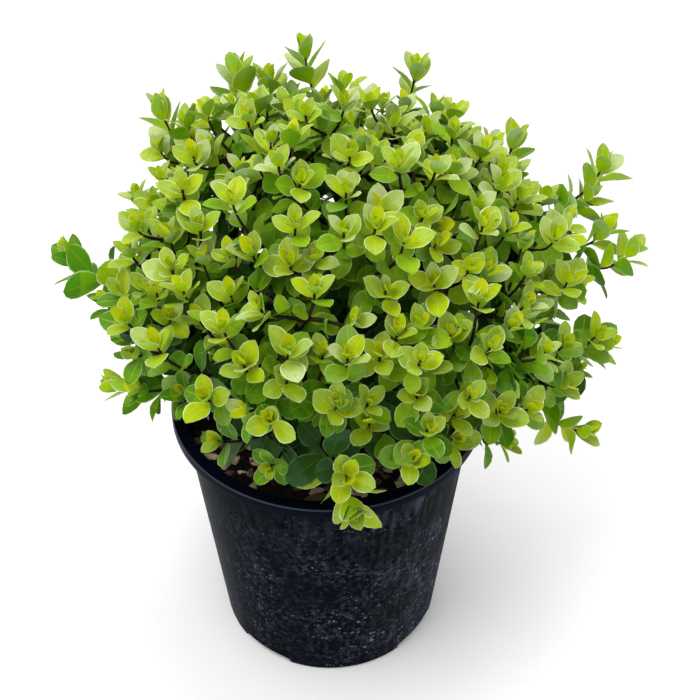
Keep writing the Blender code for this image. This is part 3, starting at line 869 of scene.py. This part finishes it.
def trunk_line():
    """The trunk's centre line and radii, finely stepped, from the flat foot to the fork."""
    points, radii = [], []
    for k in range(TRUNK_STEPS + 1):
        share = k / TRUNK_STEPS
        points.append(TRUNK_FOOT.lerp(TRUNK_TOP, share) - Vector((0, 0, TRUNK_SUNK)))
        for (low, first), (high, last) in zip(TRUNK_RADII, TRUNK_RADII[1:]):
            if low <= share <= high:
                radii.append(fade(first, last, (share - low) / (high - low)))
                break
    cap_height, cap_radius = TRUNK_CAP
    points.append(TRUNK_TOP + Vector((0, 0, cap_height)))
    return points, radii + [cap_radius]


# Leaves.


def leaf_arrays(leaves):
    """Joined vertices, faces and part numbers (blade, edge, rib) for many leaves."""
    columns = np.array(LEAF_COLUMNS)
    count, wide = len(POINTED_ROWS), len(columns)
    root, heading, face_up = (
        np.array([leaf[key] for leaf in leaves]) for key in ("root", "heading", "up"))
    length, width, fold, bend, wave, phase, round_share = (
        np.array([leaf[key] for leaf in leaves])[:, None]
        for key in ("length", "width", "fold", "bend", "wave", "phase", "round"))
    rows = fade(np.array(POINTED_ROWS), np.array(ROUND_ROWS), round_share[:, :, None])
    tip = np.ones((len(leaves), 1))
    along = np.hstack([np.repeat(rows[:, :, 0], wide, axis=1), tip])
    across = np.hstack([(rows[:, :, 1:] * columns).reshape(len(leaves), -1), tip * 0])
    side = np.cross(heading, face_up)
    lift = length * bend * along**2 + width / 2 * fold * np.abs(across) ** FOLD_POWER
    lift = lift + width * wave * np.sin(MARGIN_WAVES * along + phase) * across
    forward = length * along * (1 - BEND_DRAWN_IN * np.abs(bend) * along)
    verts = root[:, None, :] + heading[:, None, :] * forward[:, :, None]
    verts = verts + side[:, None, :] * (width / 2 * across)[:, :, None]
    verts = verts + face_up[:, None, :] * lift[:, :, None]
    faces, parts = [], []
    for r in range(count):
        for c in range(wide - 1):
            a = r * wide + c
            if r == count - 1:
                faces.append((a, a + 1, count * wide))
            else:
                faces.append((a, a + 1, a + 1 + wide, a + wide))
            edge = r > 0 and c in (0, wide - 2)
            rib = r == 0 or c == wide // 2 - 1
            parts.append("edge" if edge else "rib" if rib else LEAF_BANDS[r])
    return verts.reshape(-1, 3), faces, parts, count * wide + 1


def leaf_piece(name, leaves, tones, edge, rib):
    """One piece from many leaves: a material for each tone of blade, one for edges and one for ribs."""
    verts, faces, parts, per_leaf = leaf_arrays(leaves)
    all_faces, slots = [], []
    order = {tone: k for k, tone in enumerate([*tones, "edge", "rib"])}
    for k, leaf in enumerate(leaves):
        first = k * per_leaf
        all_faces += [tuple(first + i for i in face) for face in faces]
        slots += [order[part if isinstance(part, str) else leaf["tones"][part]] for part in parts]
    piece = new_piece(name, verts, all_faces, [*tones.values(), edge, rib])
    piece.data.polygons.foreach_set("material_index", slots)
    piece.data.shade_smooth()
    return piece


def rosette_leaf(order, count, crown, ripe_and_painted_shade):
    """A rosette leaf's usual form, and its step to the next. Its tilt is in degrees off the stem."""
    share = order / (count - 1)
    return {
        "kind": "bud" if order < 3 - 2 * ripe_and_painted_shade else "young" if share < 1.15 - ripe_and_painted_shade else "green",
        "length": crown.young_leaf * fade(0.40, 1.0, math.sin(share * math.pi / 2)),
        "width": fade(0.56, crown.width, share),
        "tilt": fade(11, 60, share),
        "fold": fade(0.36, 0.22, share),
        "bend": fade(0.09, -0.10, share),
        "sky": (0.05 + 0.4 * ripe_and_painted_shade) * share,
        "round": 0.22,
        "step": fade(0.0005, 0.0020, share),
    }


def stem_leaf(back, crown, low, shaded, vigour):
    """The same for a leaf this far below the shoot's tip: larger if low, darker if shaded, as painted shade.
    """
    past = (back - AGEING_FROM) / fade(*AGEING_LENGTHS, low)
    depth = clamp(past)
    if depth < VIGOUR_YOUTH * (vigour - 1):
        kind = "young"
    elif depth < fade(*GREEN_DEPTHS, shaded):
        kind = "green"
    else:
        kind = "deep" if DEEP_WEIGHTS[0] * past + DEEP_WEIGHTS[1] * shaded > DEEP_OVER else "old"
    near = crown.young_leaf * fade(0.72, 1.06, low) * fade(0.25, 1.0, vigour)
    return {
        "kind": kind,
        "length": fade(near, crown.old_leaf * fade(0.84, 1.0, low), depth),
        "width": crown.width + fade(0.08, 0.0, depth),
        "tilt": fade(52 + 8 * low, 88, depth),
        "fold": fade(0.30, 0.14, depth),
        "bend": fade(-0.02, -0.12, depth),
        "sky": fade(0.2, 0.6, depth) + 0.5 * low,
        "round": 0.7 if kind in ("old", "deep") else 0.2,
        "step": crown.step * fade(1.15, 0.80, depth) * fade(1.6, 1.0, vigour),
    }


def tone_choice(kind, shaded, share):
    """The tones of one leaf of this kind, where share is its own lot from 0 to 1."""
    # Painted shade takes grown leaves to their later, darker choices. Young leaves go to their earlier
    # choices under painted shade, and to their later, paler ones with painted sheen under painted light.
    settled, goal = PAINTED_SHADE_CHOICE, clamp(shaded)
    if kind in ("bud", "young"):
        settled, goal = YOUNG_CHOICE * min(1.0, abs(shaded)), float(shaded < 0)
    choices = LEAF_KINDS[kind]
    return choices[int(min(0.999, fade(share, goal, settled)) * len(choices))].split()


def shoot_leaves(line, seed, crown, vigour, low, shaded):
    """The leaves of one shoot, from the bud down: a rosette, then larger and darker ones on the stem.

    A vigorous shoot has a longer rosette of larger leaves. On a shaded one, painted shade has turned it
    green further into its rosette.
    """
    rng = random.Random(seed)
    total = length_of(line)
    turn = rng.uniform(0, 360)
    rosette = crown.rosette + round(VIGOUR_LEAVES * (vigour - 1))
    stretch = 1 + VIGOUR_STRETCH * (vigour - 1)
    reach = vigour * rng.uniform(*SHOOT_SIZES)
    # Chance ripens a rosette, and painted shade on the left side turns it green further in.
    ripe_and_painted_shade = min(1.0, PAINTED_SHADE_GREENING * max(0.0, shaded - low) + CHANCE_RIPENS * rng.random() ** 1.5)
    across = (line[-1] - line[-2]).orthogonal()
    back, order = BUD_PLACE, 0
    leaves = []
    while back < total * (1 - SHOOT_BARE):
        root, axis = point_along(line, 1 - back / total)
        side = (across - axis * across.dot(axis)).normalized()
        if order < rosette:
            leaf = rosette_leaf(order, rosette, crown, ripe_and_painted_shade)
            leaf["length"] *= reach
            leaf["step"] *= stretch
        else:
            leaf = stem_leaf(back / stretch, crown, low, max(0.0, shaded), vigour)
        angle = math.radians(turn + GOLDEN_DEG * order + rng.uniform(-TURN_SPREAD_DEG, TURN_SPREAD_DEG))
        lean = math.radians(leaf["tilt"] + rng.uniform(-TILT_SPREAD_DEG, TILT_SPREAD_DEG))
        out = side * math.cos(angle) + axis.cross(side) * math.sin(angle)
        heading = axis * math.cos(lean) + out * math.sin(lean)
        up = axis * math.sin(lean) - out * math.cos(lean) + Vector((0, 0, leaf["sky"]))
        up = up + heading.cross(up) * rng.uniform(-ROLL_SPREAD, ROLL_SPREAD)
        up = (up - heading * up.dot(heading)).normalized()
        leaf["length"] *= rng.uniform(*LEAF_SIZES)
        leaf["tones"] = tone_choice(leaf["kind"], shaded, rng.random())
        leaf["width"] *= leaf["length"] * rng.uniform(*LEAF_WIDTHS)
        leaf["fold"] += rng.uniform(-FOLD_SPREAD, FOLD_SPREAD)
        leaf["bend"] += rng.uniform(-BEND_SPREAD, BEND_SPREAD)
        leaf["wave"], leaf["phase"] = rng.uniform(*LEAF_WAVES), rng.uniform(0, 6.28)
        leaf["round"] += LOW_ROUNDNESS * low * min(1.0, order / rosette) + rng.uniform(0.0, ROUND_SPREAD)
        leaf["round"] = min(1.0, leaf["round"])
        leaf |= {"root": tuple(root), "heading": tuple(heading), "up": tuple(up)}
        leaves.append(leaf)
        back += crown.step * (ROSETTE_GAP - low) / vigour if order == rosette - 1 else leaf["step"]
        order += 1
    return leaves


# Each tone's colour, its darker mottle, its least roughness and its specular level. The pale, sage and haze
# tones are paler, whiter colours that stand as a painted sheen on the leaves.
LEAF_TONES = {
    "gold": ((0.520, 0.565, 0.002), (0.450, 0.510, 0.002), 0.40, 0.08),
    "lemon": ((0.445, 0.525, 0.003), (0.375, 0.470, 0.002), 0.38, 0.10),
    "lime": ((0.375, 0.480, 0.005), (0.305, 0.420, 0.004), 0.36, 0.13),
    "fresh": ((0.325, 0.450, 0.048), (0.250, 0.368, 0.026), 0.36, 0.17),
    "pale": ((0.370, 0.475, 0.135), (0.290, 0.395, 0.078), 0.34, 0.22),
    "sage": ((0.420, 0.505, 0.245), (0.335, 0.420, 0.155), 0.34, 0.24),
    "warm": ((0.245, 0.395, 0.006), (0.195, 0.335, 0.005), 0.40, 0.09),
    "mid": ((0.182, 0.335, 0.006), (0.138, 0.280, 0.005), 0.40, 0.09),
    "cool": ((0.098, 0.238, 0.009), (0.072, 0.190, 0.007), 0.40, 0.10),
    "haze": ((0.180, 0.320, 0.045), (0.138, 0.265, 0.028), 0.36, 0.13),
    "dim": ((0.078, 0.205, 0.004), (0.056, 0.162, 0.003), 0.42, 0.07),
    "shade": ((0.128, 0.280, 0.004), (0.096, 0.230, 0.003), 0.42, 0.07),
    "dark": ((0.023, 0.080, 0.004), (0.016, 0.060, 0.003), 0.38, 0.10),
    "blue": ((0.028, 0.088, 0.018), (0.019, 0.066, 0.013), 0.34, 0.14),
}
# A leaf's underside is paler and greener than its top: partly its own colour, partly painted light shining
# through the thin leaf.
UNDERSIDE_GAIN_AND_GLOW = (1.0, 1.2, 1.0)
UNDERSIDE_PALENESS_AND_GLOW = (0.010, 0.055, 0.001)

# The colour and darker mottle of each kind's margins and ribs.
EDGE_TONES = {
    "bud": ((0.60, 0.67, 0.28), (0.52, 0.60, 0.22)),
    "young": ((0.59, 0.66, 0.34), (0.52, 0.59, 0.27)),
    "green": ((0.33, 0.46, 0.16), (0.27, 0.39, 0.12)),
    "old": ((0.19, 0.33, 0.045), (0.145, 0.27, 0.030)),
    "deep": ((0.085, 0.185, 0.045), (0.062, 0.145, 0.032)),
}
RIB_TONES = {
    "bud": ((0.48, 0.55, 0.020), (0.42, 0.49, 0.016)),
    "young": ((0.42, 0.52, 0.050), (0.36, 0.46, 0.036)),
    "green": ((0.25, 0.38, 0.035), (0.20, 0.32, 0.028)),
    "old": ((0.145, 0.275, 0.020), (0.11, 0.225, 0.016)),
    "deep": ((0.042, 0.118, 0.014), (0.032, 0.092, 0.010)),
}


# Potting mix.


def scatter_tree(name):
    """Scatters the forms of a collection over the upward faces of a surface."""
    inputs = {
        "Geometry": ("Geometry", None), "Forms": ("Collection", None), "Density": ("Float", 5000.0),
        "Smallest": ("Float", 0.5), "Largest": ("Float", 1.0), "Tilt": ("Float", 0.5), "Seed": ("Int", 1),
        "Material": ("Material", None)}
    tree, given, out = new_group(name, "GeometryNodeTree", inputs, {"Geometry": "Geometry"})
    normal = put(tree, "GeometryNodeInputNormal").outputs[0]
    up = put(tree, "ShaderNodeSeparateXYZ", {0: normal}).outputs["Z"]
    upward = put(tree, "FunctionNodeCompare", {"A": up, "B": 0.5}, operation="GREATER_THAN").outputs[0]
    spots = put(tree, "GeometryNodeDistributePointsOnFaces",
                {"Mesh": given["Geometry"], "Selection": upward, "Density": given["Density"],
                 "Seed": given["Seed"]})
    forms = put(tree, "GeometryNodeCollectionInfo",
                {"Collection": given["Forms"], "Separate Children": True, "Reset Children": True})
    lots = []
    ranges = ((0.0, 6.283), (times(tree, given["Tilt"], -1.0), given["Tilt"]),
              (given["Smallest"], given["Largest"]))
    for (low, high), later in zip(ranges, (0, 7, 13)):
        inputs = {2: low, 3: high, "Seed": calc(tree, "ADD", given["Seed"], later)}
        lots.append(put(tree, "FunctionNodeRandomValue", inputs, data_type="FLOAT").outputs[1])
    turn, tilt, size = lots
    angles = put(tree, "ShaderNodeCombineXYZ", {"X": tilt, "Y": tilt, "Z": turn}).outputs[0]
    turned = put(tree, "FunctionNodeEulerToRotation", {0: angles}).outputs[0]
    laid = put(tree, "GeometryNodeInstanceOnPoints",
               {"Points": spots.outputs[0], "Instance": forms.outputs[0], "Pick Instance": True,
                "Rotation": turned, "Scale": size})
    return end_tree(tree, laid.outputs[0], given, out)


def chip_forms(name, length, width, height, seed):
    """A hidden collection of a few uneven chips, each of a few dozen faces."""
    rng = random.Random(seed)
    forms = bpy.data.collections.new(name)
    rings, around = CHIP_RINGS, CHIP_SIDES
    for number in range(CHIP_FORMS):
        verts, faces = [], []
        for r in range(rings):
            t = r / (rings - 1) * 2 - 1
            swell = (1 - abs(t) ** 2.6) ** 0.5 * 0.85 + 0.15
            for i in range(around):
                turn = 2 * math.pi * i / around
                y = math.cos(turn) * width / 2 * swell * rng.uniform(*CHIP_WIDTHS)
                z = math.sin(turn) * height / 2 * swell * rng.uniform(*CHIP_HEIGHTS)
                verts.append((t * length / 2 * rng.uniform(*CHIP_LENGTHS), y, z))
        for r in range(rings - 1):
            for i in range(around):
                a, b = r * around + i, r * around + (i + 1) % around
                faces.append((a, b, b + around, a + around))
        faces.append(tuple(range(around))[::-1])
        faces.append(tuple(range(len(verts) - around, len(verts))))
        mesh = bpy.data.meshes.new(f"{name}_{number}")
        mesh.from_pydata(verts, [], [face[::-1] for face in faces])
        forms.objects.link(bpy.data.objects.new(f"{name}_{number}", mesh))
    return forms


def drop_forms(forms):
    for obj in list(forms.objects):
        bpy.data.objects.remove(obj)
    bpy.data.collections.remove(forms)


# Operators.


class SHRUB_OT_pot(bpy.types.Operator):
    """Makes the nursery pot with its rim, lip and drain notches"""

    bl_idname = "shrub.pot"
    bl_label = "Pot"

    def execute(self, context):
        s = context.scene.shrub_pot
        top, rim, neck = s.height, s.rim_radius, NECK_RADIUS
        under_lip, inner_foot = top - LIP_DROP, s.base_radius - POT_WALL + 0.0002
        corners = (
            (0.0, 0.0, 0), (s.base_radius, 0.0, 0.0024), (neck, top - LIP_WALL, 0.0005),
            (rim - LIP_WALL, top - LIP_WALL, 0.0005), (rim - LIP_WALL, under_lip, 0.0004),
            (rim, under_lip, 0.0004), (rim, top, 0.0016), (neck - POT_WALL, top, 0.0013),
            (inner_foot, POT_FLOOR, 0.002), (0.0, POT_FLOOR, 0))
        verts, faces = lathe(rounded(corners), s.segments)
        finishes = [
            self.plastic("pot_wall", rgba(s.colour), s.dust, 1.0, 0.00012, specular=0.10, ior=1.08),
            self.plastic("pot_rim", RIM_PLASTIC, s.dust, 0.05, 0.00003, specular=0.15, ior=1.13),
            self.plastic("worn_edge", PAINTED_HIGHLIGHT_PLASTIC, s.dust, 0.2, 0.00003, specular=0.4, ior=1.35)]
        pot = new_piece("nursery_pot", verts, faces, finishes)
        for face in pot.data.polygons:
            out, up = math.hypot(*face.center.xy), face.center.z
            inside = up > POT_FLOOR + 0.001 and face.normal.xy.dot(face.center.xy) < 0
            if up > under_lip - SMOOTH_UNDER_LIP or out < neck - SURFACE_BAND and inside:
                # The rim's outer top edge takes the lighter plastic as a painted highlight line.
                face.material_index = 2 if out > rim - SURFACE_BAND and up > top - SURFACE_BAND else 1
        for number in range(NOTCH_COUNT):
            self.cut_notch(pot, number, s.base_radius, finishes[0])
        smooth(pot, 32)
        dress(pot, "pot_plastic", "pot")
        return {"FINISHED"}

    def plastic(self, name, colour, dust, amount, bump, specular, ior):
        inputs = {"Plastic": colour, "Dust": rgba(dust), "Earth": EARTH, "Specks": SPECKS, "Amount": amount}
        return finish_material(name, shared("dust", dust_group), inputs, bump, specular=specular, ior=ior)

    def cut_notch(self, pot, number, base, material):
        half, (below, beyond) = NOTCH_WIDTH / 2, CUTTER_SPARE
        arch = [(-half, -below), (half, -below)]
        for k in range(NOTCH_STEPS + 1):
            turn = math.pi * k / NOTCH_STEPS
            across = math.copysign(abs(math.cos(turn)) ** 0.5, math.cos(turn))
            arch.append((half * across, NOTCH_HEIGHT * fade(NOTCH_SHOULDER, 1.0, math.sin(turn) ** 0.5)))
        inner, outer = base - NOTCH_DEPTH, base + beyond
        verts = [(inner, y, z) for y, z in arch] + [(outer, y, z) for y, z in arch]
        count = len(arch)
        faces = [tuple(range(count))[::-1], tuple(range(count, 2 * count))]
        faces += [(i, (i + 1) % count, (i + 1) % count + count, i + count) for i in range(count)]
        cutter = new_piece("notch_cutter", verts, faces, [material])
        turn = math.radians(NOTCH_FIRST_DEG + 360.0 * number / NOTCH_COUNT)
        cutter.data.transform(Matrix.Rotation(turn, 4, "Z"))
        cut = pot.modifiers.new("drain_notch", "BOOLEAN")
        cut.operation, cut.object = "DIFFERENCE", cutter
        apply_modifiers(pot)
        bpy.data.objects.remove(cutter)


class SHRUB_OT_potting_mix(bpy.types.Operator):
    """Makes the uneven potting mix and scatters brown, dark and pale bark chips over it"""

    bl_idname = "shrub.potting_mix"
    bl_label = "Potting mix"

    def execute(self, context):
        s = context.scene.shrub_mix
        low, high = MIX_BOX
        top, side = TRUNK_FOOT.z - SOLID_GAP, high.x
        inner, outer = MIX_FOOT_RADII
        profile = [(0.0, low.z), (inner, low.z), (outer, MIX_FOOT_TOP)]
        profile += [(side * (1 - k / MIX_RINGS), top) for k in range(MIX_RINGS + 1)]
        verts, faces = lathe(profile, MIX_SEGMENTS)
        for i, (x, y, z) in enumerate(verts):
            out = math.hypot(x, y)
            if z < top or out > side * MIX_EDGE:
                continue
            near = max(0.0, 1 - math.hypot(x - TRUNK_FOOT.x, y - TRUNK_FOOT.y) / MOUND_RADIUS)
            wave = noise.noise(Vector((x, y, 0)) * MIX_WAVES)
            wave += FINE_WAVE_SHARE * noise.noise(Vector((x, y, 1)) * FINE_WAVES)
            rise = MIX_RISE * (out / side) ** 3
            verts[i] = (x, y, top + s.relief * fade(WAVE_SHARE * wave, MOUND_SHARE, near) + rise)
        soil = mottled("moist_mix", rgba(s.colour, 1.2), rgba(s.colour, 0.30), scale=420.0,
                       gloss=(0.72, 0.95), bump=0.0006, specular=0.12)
        mix = new_piece("moist_mix", verts, faces, [soil])
        smooth(mix, 35)
        brown = rgba(s.chip_colour)
        finishes = {
            "bark_chips": mottled("bark_chip", brown, rgba(brown, 0.42), scale=380.0, gloss=(0.70, 0.92),
                                  bump=0.0004, specular=0.2),
            "dark_chips": mottled("dark_chip", rgba(brown, 0.16), rgba(brown, 0.05), scale=420.0,
                                  gloss=(0.72, 0.95), bump=0.0004, specular=0.12),
            "pale_chips": mottled("pale_chip", (0.66, 0.52, 0.35), (0.30, 0.22, 0.13), scale=300.0,
                                  gloss=(0.66, 0.88), bump=0.0003, specular=0.3),
        }
        pieces = [mix]
        for name, (shares, density, (smallest, largest), tilt, seed) in CHIP_KINDS.items():
            forms = chip_forms(name + "_forms", *(s.chip_length * share for share in shares), seed)
            spread = mix.copy()
            spread.data = mix.data.copy()
            spread.name = name
            context.scene.collection.objects.link(spread)
            run_tree(spread, shared("scatter", scatter_tree), {
                "Forms": forms, "Density": s.chip_density * density, "Smallest": smallest,
                "Largest": largest, "Tilt": tilt, "Seed": seed, "Material": finishes[name]})
            drop_forms(forms)
            self.keep_in_pot(spread, side)
            smooth(spread, 40)
            pieces.append(spread)
        for piece in pieces:
            dress(piece, "bark_mix", "potting_mix")
        return {"FINISHED"}

    def keep_in_pot(self, piece, side):
        """Draws in the chips that would stand through the pot's wall."""
        points = np.empty(len(piece.data.vertices) * 3)
        piece.data.vertices.foreach_get("co", points)
        points = points.reshape(-1, 3)
        out = np.maximum(np.hypot(points[:, 0], points[:, 1]), 1e-9)
        limit = side + WALL_SLOPE * (points[:, 2] - TRUNK_FOOT.z)
        points[:, :2] *= np.minimum(1.0, limit / out)[:, None]
        piece.data.vertices.foreach_set("co", points.ravel())


class SHRUB_OT_limbs(bpy.types.Operator):
    """Makes the trunk and boughs with the bark's relief"""

    bl_idname = "shrub.limbs"
    bl_label = "Trunk and boughs"

    def execute(self, context):
        s = context.scene.shrub_limbs
        bark = mottled("old_bark", rgba(s.bark), rgba(s.bark, 0.32), scale=520.0, gloss=(0.62, 0.86),
                       bump=0.0005, upright=0.45, specular=0.2)
        look = {"relief": s.relief, "material": bark}
        trunk = limb_piece("woody_stem", [trunk_line()], sides=28, relief_scale=330.0, **look)
        lines = []
        for mass in MASSES:
            points = bough_line(mass)
            radii = scarred(points, BOUGH_RADIUS, BOUGH_TIP_RADIUS, s.knot * 0.7, BOUGH_SCARS)
            lines.append((points, radii))
        boughs = limb_piece("boughs", lines, sides=12, relief_scale=700.0, **look)
        dress(trunk, "dark_bark", "trunk")
        dress(boughs, "dark_bark", *BOUGHS)
        return {"FINISHED"}


class SHRUB_OT_twigs(bpy.types.Operator):
    """Makes the stems and twigs that grow on from the boughs"""

    bl_idname = "shrub.twigs"
    bl_label = "Twigs"

    def execute(self, context):
        s, crown = context.scene.shrub_limbs, context.scene.shrub_crown
        skin = mottled("twig_skin", rgba(s.twig), rgba(s.twig, 0.40), scale=900.0, gloss=(0.50, 0.72),
                       bump=0.0002, specular=0.16)
        lines = []
        for points, radius, *_ in crown_lines(crown.shoots):
            first = radius or s.twig_radius
            lines.append((points, scarred(points, first, s.tip_radius, s.knot, crown.step * 2)))
        twigs = limb_piece(
            "twigs", lines, sides=6, relief=s.relief * 0.5, relief_scale=1500.0, material=skin)
        dress(twigs, "leaf_green", *FOLIAGE)
        return {"FINISHED"}


class SHRUB_OT_leaves(bpy.types.Operator):
    """Makes every shoot's rosette and stem leaves, joined by kind"""

    bl_idname = "shrub.leaves"
    bl_label = "Leaves"

    def execute(self, context):
        crown = context.scene.shrub_crown
        leaves = []
        boughs = [bough_line(mass)[BOUGH_BARE:-1] for mass in MASSES]
        for number, (line, radius, *place) in enumerate(crown_lines(crown.shoots)):
            if radius == STEM_RADIUS:
                line = boughs.pop(0) + line
            leaves += shoot_leaves(line, FIRST_LEAF_SEED + number, crown, *place)
        tones = {}
        for name, (colour, deep, gloss, specular) in LEAF_TONES.items():
            # Undersides: partly paler leaf, partly painted light shining through.
            pale = tuple(k * c + p for k, c, p in zip(UNDERSIDE_GAIN_AND_GLOW, colour, UNDERSIDE_PALENESS_AND_GLOW))
            tones[name] = mottled("leaf_" + name, colour, deep, scale=210.0, gloss=(gloss, gloss + 0.16),
                                  bump=0.0003, underside=pale, specular=specular)
        fine = {"scale": 300.0, "gloss": (0.42, 0.58), "bump": 0.00005, "specular": 0.12}
        for kind, choices in LEAF_KINDS.items():
            mine = [leaf for leaf in leaves if leaf["kind"] == kind]
            names = sorted({tone for choice in choices for tone in choice.split()})
            # The margins' undersides are lighter too, partly as painted light shining through.
            pale = tuple(min(0.8, 1.35 * c) for c in EDGE_TONES[kind][0])
            edge = mottled("edge_" + kind, *EDGE_TONES[kind], underside=pale, **fine)
            rib = mottled("rib_" + kind, *RIB_TONES[kind], **fine)
            piece = leaf_piece("leaves_" + kind, mine, {name: tones[name] for name in names}, edge, rib)
            dress(piece, "leaf_green", *FOLIAGE)
        return {"FINISHED"}


class SHRUB_OT_stage(bpy.types.Operator):
    """Sets the floor, the soft lights and the camera"""

    bl_idname = "shrub.stage"
    bl_label = "Stage"

    def execute(self, context):
        s = context.scene.shrub_stage
        finish = mottled("pale_floor", rgba(s.floor), rgba(s.floor, 0.985), scale=6.0, gloss=(0.85, 0.92),
                         bump=0.00002)
        corners = [(x * FLOOR_HALF, y * FLOOR_HALF, 0) for x, y in ((-1, -1), (1, -1), (1, 1), (-1, 1))]
        floor = new_piece("floor", corners, [(0, 1, 2, 3)], [finish])
        world = bpy.data.worlds.new("soft_sky")
        world.use_nodes = True
        sky = world.node_tree.nodes["Background"].inputs
        sky["Color"].default_value = (1.0, 1.0, 1.0, 1.0)
        sky["Strength"].default_value = SKY_STRENGTH
        context.scene.world = world
        for name, (place, size, power) in LIGHTS.items():
            self.light(name, place, size, power)
        self.camera(context, s)
        context.scene.view_settings.view_transform = "Standard"
        return {"FINISHED"}

    def light(self, name, place, size, power):
        data = bpy.data.lights.new(name, "AREA")
        data.shape, data.size, data.energy = "DISK", size, power
        lamp = add_object(name, data)
        lamp.location = place
        toward = LIGHTS_TARGET - Vector(place)
        lamp.rotation_euler = toward.to_track_quat("-Z", "Y").to_euler()

    def camera(self, context, s):
        data = bpy.data.cameras.new("camera")
        data.lens, data.sensor_width = s.lens, 36.0
        camera = add_object("camera", data)
        back = Vector((0.0, -math.cos(s.elevation), math.sin(s.elevation)))
        turn = back.to_track_quat("Z", "Y").to_matrix().to_4x4() @ Matrix.Rotation(s.roll, 4, "Z")
        camera.matrix_world = Matrix.Translation(CAMERA_TARGET + back * s.distance) @ turn
        context.scene.camera = camera


class SHRUB_PT_panel(bpy.types.Panel):
    """Lists the shrub's pieces and their settings"""

    bl_idname = "SHRUB_PT_panel"
    bl_label = "Shrub"
    bl_space_type = "VIEW_3D"
    bl_region_type = "UI"
    bl_category = "Shrub"

    def draw(self, context):
        for operator, setting in STEPS:
            box = self.layout.box()
            box.operator(operator.bl_idname)
            group = getattr(context.scene, setting)
            for name in group.__annotations__:
                box.prop(group, name)


SETTINGS = {
    "shrub_pot": PotSettings,
    "shrub_mix": MixSettings,
    "shrub_limbs": LimbSettings,
    "shrub_crown": CrownSettings,
    "shrub_stage": StageSettings,
}
STEPS = (
    (SHRUB_OT_pot, "shrub_pot"),
    (SHRUB_OT_potting_mix, "shrub_mix"),
    (SHRUB_OT_limbs, "shrub_limbs"),
    (SHRUB_OT_twigs, "shrub_limbs"),
    (SHRUB_OT_leaves, "shrub_crown"),
    (SHRUB_OT_stage, "shrub_stage"),
)


def register():
    for group in SETTINGS.values():
        bpy.utils.register_class(group)
    for operator, _ in STEPS:
        bpy.utils.register_class(operator)
    bpy.utils.register_class(SHRUB_PT_panel)
    for name, group in SETTINGS.items():
        setattr(bpy.types.Scene, name, PointerProperty(type=group))


def unregister():
    for name in SETTINGS:
        delattr(bpy.types.Scene, name)
    bpy.utils.unregister_class(SHRUB_PT_panel)
    for operator, _ in STEPS:
        bpy.utils.unregister_class(operator)
    for group in SETTINGS.values():
        bpy.utils.unregister_class(group)


def main():
    register()
    bpy.ops.shrub.pot()
    bpy.ops.shrub.potting_mix()
    bpy.ops.shrub.limbs()
    bpy.ops.shrub.twigs()
    bpy.ops.shrub.leaves()
    bpy.ops.shrub.stage()


if __name__ == "__main__":
    main()
